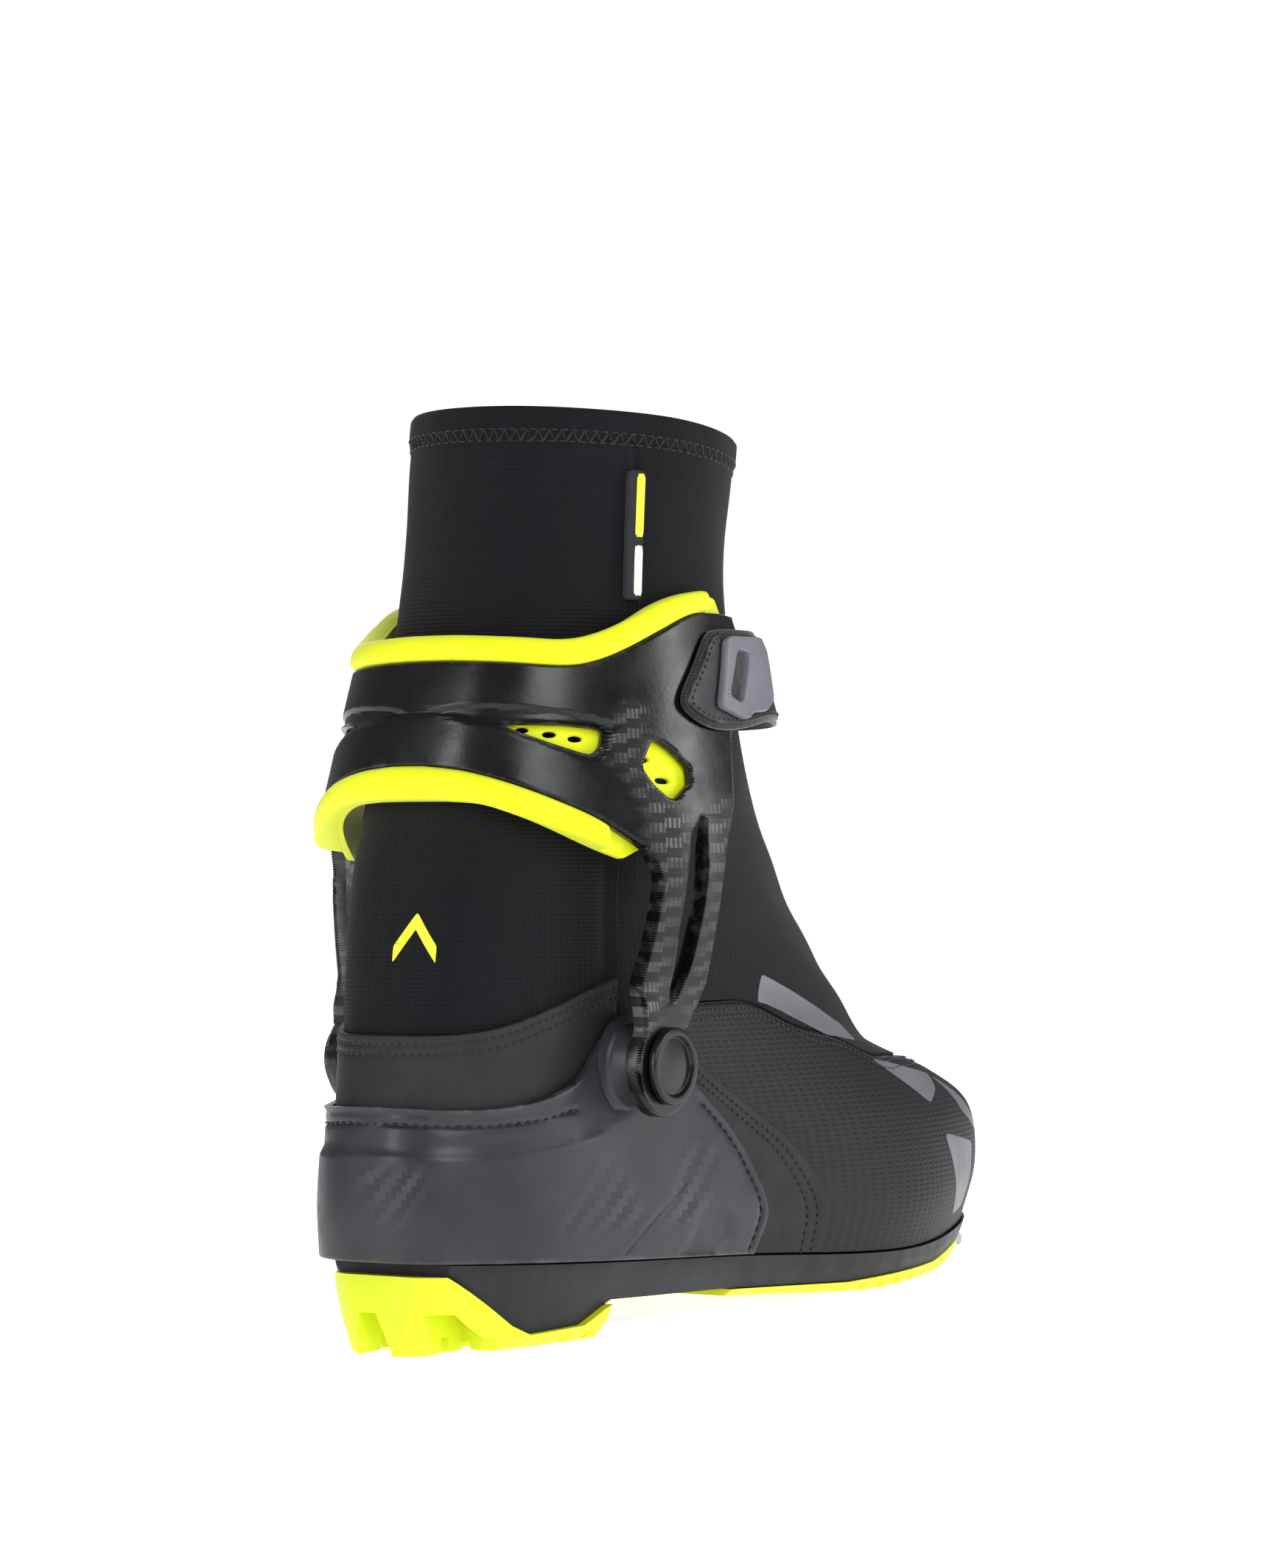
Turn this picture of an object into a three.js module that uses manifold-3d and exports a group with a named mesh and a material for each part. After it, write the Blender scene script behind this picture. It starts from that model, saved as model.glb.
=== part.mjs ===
// Cross-country skating boot, right foot, EU 41. Millimetres, +X to the toe, +Y to the inner side, +Z up.
// The boot is drawn on its last, whose base line runs level through the heel. REST_TILT then turns the
// whole boot toe-down until the heel lugs and the ball lugs stand on the floor.
import * as THREE from 'three';
import { mergeVertices } from 'three/addons/utils/BufferGeometryUtils.js';
import { TessellateModifier } from 'three/addons/modifiers/TessellateModifier.js';
import Module from 'manifold-3d';

const wasm = await Module();
wasm.setup();

// ---------- driving dimensions ----------
const LENGTH = 291; // heel to toe over the upper
const WIDTH = 102; // across the ball
const HEIGHT = 256; // floor to the gaiter's top, before REST_TILT
const REST_TILT = 0.0377; // slope of the floor seen from the last's base line

const FIT = 0.35; // gap between neighbouring solids
const LAY = 0.7; // gap between layers that bend round the leg
const SHELL = 2.4; // softshell and vamp fabric with its lining
const TRIM = 1.1; // welded trim on the upper
const PAD = 3.4; // heel padding and tongue
const COUNTER = 2.8; // moulded heel counter
const HEM = 0.9; // folded hem on the gaiter
const HEM_WIDTH = 0.36; // hem width, as a share of the top ring's height

const CUFF = 2.2; // cuff wall
const ARM = 2.2; // extra wall on the cuff's arms
const LINER = 1.3; // foam liner inside the cuff
const LINER_GAP = 1; // glue gap between the cuff and its liner
const LIP = 1.8; // how far the liner's lips stand out past the cuff

const PIVOT = [31, 75.5]; // hinge, side view x and z
const PIVOT_Y = [52.5, 55.5]; // outer face of the arm: outer side, inner side
const LOBE = 14; // radius of the arm's round end
const PIN = 4; // pivot pin radius
const PIN_SEAT = 3.4; // depth of the pin's blind hole in its boss
const BOSS = 11.5; // radius of the counter's pivot boss
const WASHER = [8.5, 0.8]; // washer radius and thickness
const CAP = [10.6, 2.6]; // pivot cap radius and height

const STRAP = 2; // strap thickness
const STRAP_HUG = 2.6; // how far the strap leaves the cuff's surface to lie on the instep
const PULL = 1.5; // moulded pull tab thickness

const WELT = 0.8; // how far the sole stands out past the upper
const BOARD = 2.2; // lasting board
const FOOTBED = 4.2; // removable insole
const BAR = [241, 2]; // toe bar: place along the boot and radius
const GROOVE = [10, 15]; // guide grooves: from and to, either side of the centre line
const ZIP = [5.6, 1.3]; // zip chain width and height
const SLIDER = [8, 11, 3.2]; // zip slider across, along and out
const EAR = [2.1, 1.9, 0.7]; // slider's ears: pin's distance out, half gap between ears, pin radius
const PULL_TAB = [3.2, 14, 1]; // zip pull half width, length and thickness

const ARM_FADE = [147, 14]; // height where the arm starts to thicken, and over what height
const HUB = [27, 10]; // distance from the pivot where the arm's face is level, and over what distance
const HUG_SHARE = [0.42, 0.14]; // share of the leg, from the front, where the strap hugs, and its fade
const LUGS = { from: 132, to: 240, count: 12, gap: 3.2 }; // grooves across the forefoot sole
const WEB = 1.6; // rubber left above a groove
const HEEL_CUTS = [[3.5, 1.2, 2.2], [11.4, 2.6, 2.6], [20.5, 2, 3]]; // place, width and depth
const REAR_CUT = [-19, 3.6, 3.4]; // place, width and depth of the groove behind the heel's lugs

const K = { x: LENGTH / 291, y: WIDTH / 102, z: HEIGHT / 256 };

// ---------- curves ----------
const clamp = (x, a, b) => Math.min(b, Math.max(a, x));
const mix = (a, b, t) => a + (b - a) * t;
const smooth = (t) => {
  const k = clamp(t, 0, 1);
  return k * k * (3 - 2 * k);
};

// A smooth line through (xs, ys), level beyond its ends.
function hermite(xs, ys, at) {
  const n = xs.length - 1;
  const x = clamp(at, xs[0], xs[n]);
  const slope = (i) => (ys[i + 1] - ys[i]) / (xs[i + 1] - xs[i]);
  const tangent = (i) => {
    if (i === 0) return slope(0);
    if (i === n) return slope(n - 1);
    const before = xs[i] - xs[i - 1];
    const after = xs[i + 1] - xs[i];
    return (slope(i) * before + slope(i - 1) * after) / (before + after);
  };
  let i = 0;
  while (i < n - 1 && x > xs[i + 1]) i += 1;
  const h = xs[i + 1] - xs[i];
  const q = (x - xs[i]) / h;
  const value = ys[i] * (1 + 2 * q) * (1 - q) ** 2 + ys[i + 1] * q * q * (3 - 2 * q);
  return value + tangent(i) * h * q * (1 - q) ** 2 - tangent(i + 1) * h * q * q * (1 - q);
}

// Straight lines through [x, y] points.
function along(points, at) {
  let i = 0;
  while (i < points.length - 2 && at > points[i + 1][0]) i += 1;
  const [x0, y0] = points[i];
  const [x1, y1] = points[i + 1];
  return mix(y0, y1, clamp((at - x0) / (x1 - x0), 0, 1));
}

// ---------- the last ----------
// One line per girth, from the welt to the gaiter's top: rear x, front x, height at the rear, waist, ball
// and front, half width at the heel, waist, ball and toe, and squareness at the rear and the front.
const GIRTHS = [
  [-30, 252, [24, 20, 17, 23], [41, 38, 49, 47], [0.66, 0.62]],
  [-31, 260, [39, 38, 34, 40], [41.5, 39, 51, 48], [0.66, 0.62]],
  [-30, 257, [55, 60, 55, 56.5], [40.5, 37, 47, 45], [0.66, 0.63]],
  [-28, 239, [69, 78, 73, 66], [40, 35, 38, 37.5], [0.64, 0.71]],
  [-26, 211, [84, 94, 88, 73], [40, 34, 30, 28], [0.62, 0.8]],
  [-24, 194, [100, 109, 105, 88], [40.5, 35, 30, 26], [0.6, 0.88]],
  [-21, 173, [118, 124, 121, 107], [41.5, 37, 32, 26], [0.62, 0.9]],
  [-16, 152, [138, 142, 139, 129], [42.5, 40, 34, 30], [0.68, 0.92]],
  [-8, 133, [160, 161, 158, 154], [42.5, 42, 39, 34], [0.78, 0.95]],
  [0, 117, [186, 186, 185, 184], [43, 43, 42, 38], [0.9, 1]],
  [5, 111, [216, 216, 215, 214], [42.5, 43, 42, 39], [0.95, 1]],
  [9, 114, [256, 254, 251, 248], [41, 43, 43, 41], [0.95, 1]],
];
const TOP = GIRTHS.length - 1;

// The foot's inward curve, which fades out at ankle height.
const sway = (x, z) => hermite([-30, 90, 170, 255], [0, -2, -1, 7], x) * clamp(1 - z / 130, 0, 1);

// Share of the way from the rear to the front at angle a (0 rear, 0.5 outer side, 1 front, -0.5 inner side).
const share = (a) => (1 - Math.cos(Math.PI * a)) / 2;

function girth(k, a) {
  const [rear, front, z, w, p] = GIRTHS[clamp(k, 0, TOP)];
  const c = share(a);
  const s = Math.sin(Math.PI * a);
  const x = mix(rear, front, c);
  const height = hermite([0, 0.4, 0.7, 1], z, c);
  const half = hermite([0, 0.15, 0.4, 0.7, 0.92, 1], [w[0], w[0], w[1], w[2], w[3], w[3]], c);
  const y = -Math.sign(s) * Math.abs(s) ** mix(p[0], p[1], c) * half + sway(x, height);
  return new THREE.Vector3(x * K.x, y * K.y, height * K.z);
}

// The upper's outer face: a round the leg, t from 0 at the welt to TOP.
function last(a, t) {
  const i = clamp(Math.floor(t), 0, TOP - 1);
  const q = t - i;
  const at = (k) => {
    if (k < 0) return girth(0, a).multiplyScalar(2).sub(girth(1, a));
    if (k > TOP) return girth(TOP, a).multiplyScalar(2).sub(girth(TOP - 1, a));
    return girth(k, a);
  };
  const [p0, p1, p2, p3] = [at(i - 1), at(i), at(i + 1), at(i + 2)];
  const out = new THREE.Vector3();
  for (const axis of ['x', 'y', 'z']) {
    const cubic = 3 * p1[axis] - p0[axis] - 3 * p2[axis] + p3[axis];
    const square = 2 * p0[axis] - 5 * p1[axis] + 4 * p2[axis] - p3[axis];
    out[axis] = 0.5 * (2 * p1[axis] + (p2[axis] - p0[axis]) * q + square * q * q + cubic * q ** 3);
  }
  return out;
}

// ---------- the cuff's surface ----------
// height: rear x, front x, half width, centre y, squareness at the rear
const CUFF_GIRTHS = [
  [60, -19, 140, 50.5, 1.5, 0.6],
  [76, -19, 140, 54, 1.5, 0.6],
  [92, -19, 140, 57, 1.5, 0.7],
  [110, -19, 140, 61, 2, 0.8],
  [126, -19, 140, 62.5, 2, 0.8],
  [140, -18.7, 140, 61, 1.5, 0.8],
  [148, -18, 139, 59.5, 1, 0.77],
  [157, -16.5, 136, 57.3, 0.8, 0.77],
  [171, -12.5, 130, 54.5, 0.6, 0.75],
  [186, -7.5, 123, 52, 0.4, 0.74],
  [200, -1.5, 117, 49.2, 0.2, 0.74],
  [215, 3, 114, 47.8, 0, 0.75],
];
const CUFF_HEIGHTS = CUFF_GIRTHS.map((g) => g[0]);
const cuffGirth = (i, z) => hermite(CUFF_HEIGHTS, CUFF_GIRTHS.map((g) => g[i]), z);

function cuffSurface(a, z) {
  const c = share(a);
  const s = Math.sin(Math.PI * a);
  const p = mix(cuffGirth(5, z), 1.05, c);
  const x = mix(cuffGirth(1, z), cuffGirth(2, z), c);
  const y = -Math.sign(s) * Math.abs(s) ** p * cuffGirth(3, z) + cuffGirth(4, z);
  return new THREE.Vector3(x * K.x, y * K.y, z * K.z);
}

// The point at distance d outside a surface, for d below 0 inside it.
function offset(surface, u, v, d, step = 1e-3) {
  const du = surface(u + step, v).sub(surface(u - step, v));
  const dv = surface(u, v + step).sub(surface(u, v - step));
  return surface(u, v).addScaledVector(du.cross(dv).normalize(), d);
}

// ---------- from side view to surface ----------
function bisect(f, low, high) {
  let [a, b] = [low, high];
  for (let i = 0; i < 40; i += 1) {
    const m = (a + b) / 2;
    if (f(m) < 0) a = m;
    else b = m;
  }
  return (a + b) / 2;
}

// [a, t] of the outer side's point that the side view shows at x, z (in the sizes of GIRTHS).
function onLast([x, z]) {
  const angle = (t) => bisect((a) => last(a, t).x - x * K.x, 0, 1);
  const t = bisect((k) => last(angle(k), k).z - z * K.z, 0, TOP);
  return [angle(t), t];
}

const onCuff = ([x, z]) => {
  const c = (x - cuffGirth(1, z)) / (cuffGirth(2, z) - cuffGirth(1, z));
  return [Math.acos(clamp(1 - 2 * c, -1, 1)) / Math.PI, z];
};

// A smooth line on the last through side view points, as a function of 0 to 1; side -1 is the inner side.
function seam(points, side = 1) {
  const on = points.map(onLast);
  const run = [0];
  for (let i = 1; i < points.length; i += 1)
    run.push(run[i - 1] + Math.hypot(points[i][0] - points[i - 1][0], points[i][1] - points[i - 1][1]));
  const at = run.map((r) => r / run[run.length - 1]);
  return (s) => [side * hermite(at, on.map((p) => p[0]), s), hermite(at, on.map((p) => p[1]), s)];
}

const line = (p, q) => (s) => [mix(p[0], q[0], s), mix(p[1], q[1], s)];

// ---------- solids ----------
function geometryOf(points, index) {
  const g = new THREE.BufferGeometry();
  g.setAttribute('position', new THREE.Float32BufferAttribute(points.flatMap((p) => [p.x, p.y, p.z]), 3));
  g.setIndex(index);
  return g;
}

function volumeOf(points, index) {
  let total = 0;
  for (let i = 0; i < index.length; i += 3) {
    const [p, q, r] = [points[index[i]], points[index[i + 1]], points[index[i + 2]]];
    total += new THREE.Vector3().crossVectors(q, r).dot(p);
  }
  return total;
}

// A closed sheet: place(u, v, d) over columns us and rows vs, from depth inner to depth outer. A ring of
// columns closes on itself.
function sheet(place, us, vs, inner, outer, ring = false) {
  const points = [];
  for (const d of [outer, inner]) for (const v of vs) for (const u of us) points.push(place(u, v, d));
  const [n, m] = [us.length, vs.length];
  const at = (layer, i, j) => layer * n * m + j * n + (i % n);
  const index = [];
  const quad = (p, q, r, s) => index.push(p, q, r, p, r, s);
  const spans = ring ? n : n - 1;
  for (let i = 0; i < spans; i += 1) {
    for (let j = 0; j < m - 1; j += 1) {
      quad(at(0, i, j), at(0, i + 1, j), at(0, i + 1, j + 1), at(0, i, j + 1));
      quad(at(1, i, j), at(1, i, j + 1), at(1, i + 1, j + 1), at(1, i + 1, j));
    }
    quad(at(1, i, 0), at(1, i + 1, 0), at(0, i + 1, 0), at(0, i, 0));
    quad(at(0, i, m - 1), at(0, i + 1, m - 1), at(1, i + 1, m - 1), at(1, i, m - 1));
  }
  if (!ring)
    for (let j = 0; j < m - 1; j += 1) {
      quad(at(0, 0, j), at(0, 0, j + 1), at(1, 0, j + 1), at(1, 0, j));
      quad(at(1, n - 1, j), at(1, n - 1, j + 1), at(0, n - 1, j + 1), at(0, n - 1, j));
    }
  if (volumeOf(points, index) < 0)
    for (let i = 0; i < index.length; i += 3) [index[i + 1], index[i + 2]] = [index[i + 2], index[i + 1]];
  return geometryOf(points, index);
}

const steps = (n, from = 0, to = 1) => Array.from({ length: n + 1 }, (_, i) => mix(from, to, i / n));
const around = (n) => steps(n, 0, 2).slice(0, n);

// A sheet on the last between four edges, each a function of 0 to 1 that gives [a, t].
function panel({ bottom, top, start, end, nu, nv, inner, outer }) {
  const corner = [bottom(0), bottom(1), top(0), top(1)];
  const place = (u, v, d) => {
    const at = [0, 1].map((k) => {
      const ruled = mix(bottom(u)[k], top(u)[k], v) + mix(start(v)[k], end(v)[k], u);
      return ruled - mix(mix(corner[0][k], corner[1][k], u), mix(corner[2][k], corner[3][k], u), v);
    });
    return offset(last, at[0], at[1], d);
  };
  return sheet(place, steps(nu), steps(nv), inner, outer);
}

// A ring round the leg on the last, between the lines low(a) and high(a).
function sleeve({ low, high, columns, rows, inner, outer }) {
  const place = (a, v, d) => offset(last, a, mix(low(a), high(a), v), d);
  return sheet(place, columns, steps(rows), inner, outer, true);
}

// ---------- booleans ----------
function toSolid(geometry) {
  const g = geometry.index ? geometry.toNonIndexed() : geometry.clone();
  for (const name of Object.keys(g.attributes)) if (name !== 'position') g.deleteAttribute(name);
  const merged = mergeVertices(g, 1e-4);
  const vertProperties = merged.attributes.position.array;
  return new wasm.Manifold(
    new wasm.Mesh({ numProp: 3, vertProperties, triVerts: new Uint32Array(merged.index.array) }),
  );
}

function toGeometry(solid) {
  const mesh = solid.getMesh();
  const g = new THREE.BufferGeometry();
  g.setAttribute('position', new THREE.BufferAttribute(mesh.vertProperties.slice(), 3));
  g.setIndex(new THREE.BufferAttribute(mesh.triVerts.slice(), 1));
  return g;
}

const joined = (...parts) => toGeometry(parts.map(toSolid).reduce((a, b) => a.add(b)));
const cut = (base, ...tools) => toGeometry(tools.reduce((a, b) => a.subtract(toSolid(b)), toSolid(base)));

// A round bar along Y between y0 and y1.
function bar(radius, y0, y1, x, z, sides = 32) {
  const g = new THREE.CylinderGeometry(radius, radius, Math.abs(y1 - y0), sides);
  return g.translate(x, (y0 + y1) / 2, z);
}

function box(x0, x1, y0, y1, z0, z1) {
  const g = new THREE.BoxGeometry(x1 - x0, y1 - y0, z1 - z0);
  return g.translate((x0 + x1) / 2, (y0 + y1) / 2, (z0 + z1) / 2);
}

// ---------- sole ----------
const floorAt = (x) => REST_TILT * x;
const weltShare = (x) => clamp((x / K.x - GIRTHS[0][0]) / (GIRTHS[0][1] - GIRTHS[0][0]), 0, 1);
const weltAngle = (x) => Math.acos(1 - 2 * weltShare(x)) / Math.PI;
const weltHeight = (x) => girth(0, weltAngle(x)).z;

// A block under or on the upper's footprint, between the heights top(x) and bottom(x). grow moves its
// edge out past the upper, and draft tapers its foot in.
function footBlock({ from, to, top, bottom, grow, draft = 0, count = 26 }) {
  const [rear, front] = [GIRTHS[0][0] * K.x, GIRTHS[0][1] * K.x];
  const [mid, half] = [(front + rear) / 2, (front - rear) / 2];
  const points = [];
  const knots = CHASSIS.map(([x]) => x * K.x).filter((x) => x > from + 1 && x < to - 1);
  const even = steps(count).map((s) => mix(from, to, (1 - Math.cos(Math.PI * s)) / 2));
  const clear = even.filter((x) => knots.every((k) => Math.abs(k - x) > 1.5));
  const stations = [...clear, ...knots].sort((p, q) => p - q);
  for (const x of stations) {
    const a = weltAngle(mid + ((x - mid) * half) / (half + grow));
    const outer = girth(0, a).y - grow;
    const inner = girth(0, -a).y + grow;
    const [high, low] = [top(x), bottom(x)];
    const waist = mix(low, high, 0.5);
    const section = [
      [outer, high],
      [mix(outer, inner, 0.5), high],
      [inner, high],
      [inner - draft * 0.35, waist],
      [inner - draft, low],
      [mix(outer, inner, 0.5), low],
      [outer + draft, low],
      [outer + draft * 0.35, waist],
    ];
    for (const [y, z] of section) points.push(new THREE.Vector3(x, y, z));
  }
  const n = 8;
  const spans = stations.length - 1;
  const index = [];
  for (let i = 0; i < spans; i += 1)
    for (let j = 0; j < n; j += 1) {
      const k = (j + 1) % n;
      index.push(i * n + j, i * n + k, (i + 1) * n + k, i * n + j, (i + 1) * n + k, (i + 1) * n + j);
    }
  for (const [start, flip] of [[0, false], [spans * n, true]])
    for (let j = 1; j < n - 1; j += 1)
      index.push(start, ...(flip ? [start + j, start + j + 1] : [start + j + 1, start + j]));
  if (volumeOf(points, index) < 0)
    for (let i = 0; i < index.length; i += 3) [index[i + 1], index[i + 2]] = [index[i + 2], index[i + 1]];
  return geometryOf(points, index);
}

// Underside of the dark chassis in side view, and so the top of both yellow outsoles.
const CHASSIS = [[-24.6, 20.6], [-8.4, 7], [-2.6, 4.2], [16, 5.6], [23.8, 9.4], [28.8, 11.3],
  [80, 10.6], [135, 9.2], [190, 11.4], [225, 15.5], [250, 20.4]];
const HEEL_SPAN = [-29.6, 27];
const BALL_SPAN = [84, 250];
const chassisUnder = (x) => along(CHASSIS.map(([u, z]) => [u * K.x, z * K.z]), x);
const underWelt = (x) => weltHeight(x) - FIT;

function midsole() {
  const bottom = (x) => Math.min(chassisUnder(x), underWelt(x) - 0.4);
  return footBlock({
    from: -24 * K.x, to: 249 * K.x, top: underWelt, bottom, grow: WELT, draft: 2, count: 34,
  });
}

// The two tall grooves open at the back of the heel: y from and to at the roof and at the floor.
const REAR_GROOVES = [[[-19.5, -13], [-25, -12.5]], [[1.5, 7], [-4, 7.5]]];

// A groove along X with slanted walls, from below the floor up to the height z.
function trench(roof, foot, x0, x1, z) {
  const depth = 9; // how far it runs on below the floor
  const outline = [[foot[0], -depth], [foot[1], -depth], [foot[1], 0], [roof[1], z], [roof[0], z], [foot[0], 0]];
  const shape = new THREE.Shape(outline.map(([y, h]) => new THREE.Vector2(y, h)));
  const g = new THREE.ExtrudeGeometry(shape, { depth: x1 - x0, bevelEnabled: false });
  return g.rotateX(Math.PI / 2).rotateZ(Math.PI / 2).translate(x0, 0, 0);
}

function heelOutsole() {
  const [from, to] = HEEL_SPAN.map((x) => x * K.x);
  const top = (x) => Math.min(chassisUnder(x), underWelt(x) + FIT) - FIT;
  const block = footBlock({ from, to, top, bottom: floorAt, grow: WELT, draft: 6, count: 22 });
  const tools = [];
  for (const [roof, foot] of REAR_GROOVES) tools.push(trench(roof, foot, from - 9, -9 * K.x, 10.2 * K.z));
  for (const side of [-1, 1]) {
    const ys = [GROOVE[0] * side, GROOVE[1] * side].sort((p, q) => p - q);
    tools.push(box(-9.5 * K.x, to + 9, ...ys, -9, 1.7 * K.z));
  }
  for (const [x, wide, deep] of [...HEEL_CUTS, REAR_CUT])
    tools.push(box(x * K.x, x * K.x + wide, -60, 60, -9, deep * K.z));
  return cut(block, ...tools);
}

function forefootOutsole() {
  const [from, to] = BALL_SPAN.map((x) => x * K.x);
  const top = (x) => chassisUnder(x) - FIT;
  const lift = [[84, 5], [128, 1.5], [150, 0], [205, 0], [230, 1], [250, 3.5]];
  const bottom = (x) => floorAt(x) + along(lift.map(([u, z]) => [u * K.x, z * K.z]), x);
  const block = footBlock({ from, to, top, bottom, grow: WELT - 1.4, draft: 3, count: 26 });
  const tools = [];
  for (const x of steps(LUGS.count - 1, LUGS.from, LUGS.to)) {
    const [x0, x1] = [x * K.x, x * K.x + LUGS.gap];
    tools.push(box(x0, x1, -70, 70, -9, Math.min(top(x0), top(x1)) - WEB));
  }
  for (const side of [-1, 1]) {
    const ys = [GROOVE[0] * side, GROOVE[1] * side].sort((p, q) => p - q);
    const spans = steps(8, 90, to / K.x + 2);
    for (let i = 0; i < spans.length - 1; i += 1) {
      const [x0, x1] = [spans[i] * K.x - 0.2, spans[i + 1] * K.x];
      tools.push(box(x0, x1, ...ys, -9, Math.min(top(x0), top(x1)) - WEB));
    }
  }
  const [x, r] = [BAR[0] * K.x, BAR[1]];
  const z = barHeight();
  tools.push(box(x - 5, x + 5, -GROOVE[0] - 0.5, GROOVE[0] + 0.5, -9, z + r + 1));
  tools.push(bar(r + FIT, -barHalf() - FIT, barHalf() + FIT, x, z, 20));
  return cut(block, ...tools);
}

const barHalf = () => GROOVE[1] + 6;
const barHeight = () => chassisUnder(BAR[0] * K.x) - FIT - WEB - BAR[1] - 1;

const toeBar = () => bar(BAR[1], -barHalf(), barHalf(), BAR[0] * K.x, barHeight(), 20);

const boardTop = (x) => weltHeight(x) + BOARD;

function lastingBoard() {
  const inset = -(SHELL + 1);
  return footBlock({ from: -26 * K.x, to: 247 * K.x, top: boardTop, bottom: weltHeight, grow: inset });
}

function footbed() {
  const bottom = (x) => boardTop(x) + FIT;
  const top = (x) => bottom(x) + FOOTBED;
  return footBlock({ from: -25.5 * K.x, to: 246 * K.x, top, bottom, grow: -(SHELL + 1.6) });
}

// ---------- upper ----------
const TGAP = 0.014; // FIT as a share of the way between two girths
const VAMP_REAR = 0.41;
const VAMP_TOP = [[45, 87], [81.8, 91.8], [109.7, 89.4], [123, 84.8], [146.6, 80.3], [161, 75.6], [181, 73.8]];
const THROAT = 3.9; // t of the vamp's top on the centre line
const FLEX = 6.34; // t where the stretch zone starts
const GAITER = 9.05; // t where the gaiter starts

const vampLine = (() => {
  const on = [...VAMP_TOP.map(onLast), [0.92, THROAT - 0.04], [1, THROAT]];
  return (a) => hermite(on.map((p) => p[0]), on.map((p) => p[1]), a);
})();
const folded = (a) => 1 - Math.abs(1 - (((a % 2) + 2) % 2)); // both sides as 0 to 1

// Columns that the vamp and the quarter share, so that their seam runs alike on both.
const COLUMNS = around(60);

function vamp() {
  const place = (a, v, d) => offset(last, a, mix(0.02, vampLine(folded(a)) - TGAP, v), d);
  const inside = COLUMNS.filter((a) => a > VAMP_REAR + 0.01 && a < 2 - VAMP_REAR - 0.01);
  return sheet(place, [VAMP_REAR, ...inside, 2 - VAMP_REAR], steps(7), -SHELL, 0);
}

function quarterSleeve() {
  const ramp = [VAMP_REAR - 0.035, VAMP_REAR - 0.006];
  const low = (a) => {
    const f = folded(a);
    return f < ramp[1] ? mix(0.02, vampLine(ramp[1]) + TGAP, clamp((f - ramp[0]) / (ramp[1] - ramp[0]), 0, 1))
      : vampLine(f) + TGAP;
  };
  const columns = [...COLUMNS, ramp[0], ramp[1], 2 - ramp[0], 2 - ramp[1]].sort((p, q) => p - q);
  return sleeve({ low, high: () => FLEX - TGAP, columns, rows: 7, inner: -SHELL, outer: 0 });
}

const at = (t) => () => t;
const flexSleeve = () =>
  sleeve({ low: at(FLEX), high: at(GAITER - TGAP), columns: around(40), rows: 5, inner: -SHELL, outer: 0 });
const gaiter = () =>
  sleeve({ low: at(GAITER), high: at(TOP), columns: around(40), rows: 5, inner: -SHELL, outer: 0 });
const gaiterHem = () =>
  sleeve({
    low: at(TOP - HEM_WIDTH), high: at(TOP), columns: around(40), rows: 1, inner: LAY, outer: LAY + HEM,
  });

const OVER = { inner: LAY, outer: LAY + TRIM };

// The outer side's line, mirrored to the inner side and run from one to the other round the heel.
const wrapped = (edge) => (s) => {
  const [first, end] = [edge(0)[0], edge(1)[0]];
  const [a, t] = edge(Math.abs(2 * s - 1));
  const out = ((a - first) * end) / (end - first);
  return [s < 0.5 ? -out : out, t];
};

const BAND_END = [[26, 62], [30, 80], [30, 99.5]];
const BAND_LOW = [[-28, 56], [-8, 56], [8, 58], [18, 60], BAND_END[0]];
const BAND_TOP = [[-24, 84.6], [-8, 86.8], [6.9, 91.5], [20, 96.5], BAND_END[2]];

function ankleBand() {
  return panel({
    bottom: wrapped(seam(BAND_LOW)), top: wrapped(seam(BAND_TOP)),
    start: seam(BAND_END, -1), end: seam(BAND_END), nu: 36, nv: 3, ...OVER,
  });
}

const COUNTER_FRONT = [[87.1, 18.9], [93, 32.4], [86, 46], [64.4, 66.9]];
const COUNTER_TOP = [[-28.4, 65], [2.6, 67.5], [13, 71.8], [20, 80], [27, 86.5], [38, 88], [50, 81],
  COUNTER_FRONT[3]];

// What the counter sits on, and where its bosses and the cuff's arms meet.
const SEAT = { inner: OVER.outer + LAY, outer: OVER.outer + LAY + COUNTER };
const pivotAt = () => [PIVOT[0] * K.x, PIVOT[1] * K.z];
const armFace = (side) => PIVOT_Y[side < 0 ? 0 : 1] * K.y;
const armInside = (side) => armFace(side) - CUFF - ARM;
const bossFace = (side) => armInside(side) - WASHER[1] - 2 * FIT;

function upperAtPivot(side) {
  const [a, t] = onLast(PIVOT);
  return Math.abs(last(-side * a, t).y);
}

function heelCounter() {
  const top = wrapped(seam(COUNTER_TOP));
  const foot = onLast(COUNTER_FRONT[0]);
  const bottom = (s) => [mix(-foot[0], foot[0], s), 0.03];
  const shell = panel({
    bottom, top, start: seam(COUNTER_FRONT, -1), end: seam(COUNTER_FRONT), nu: 44, nv: 7, ...SEAT,
  });
  const bosses = [];
  const holes = [];
  for (const side of [-1, 1]) {
    const face = bossFace(side);
    const root = side * (upperAtPivot(side) + SEAT.inner + 0.6);
    bosses.push(bar(BOSS, root, side * face, ...pivotAt(), 40));
    holes.push(bar(PIN + FIT, side * (face - PIN_SEAT), side * (face + 5), ...pivotAt()));
  }
  return cut(joined(shell, ...bosses), ...holes);
}

const OVERLAY_REAR = [[72, 18.8], [77, 32], [70, 46], [54, 64], [44, 81]];
const OVERLAY_FRONT = [[120.9, 18.5], [123.3, 30.7], [114.5, 46], [94.5, 60.5], [74.9, 71.9], [61.4, 81.2]];

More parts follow.
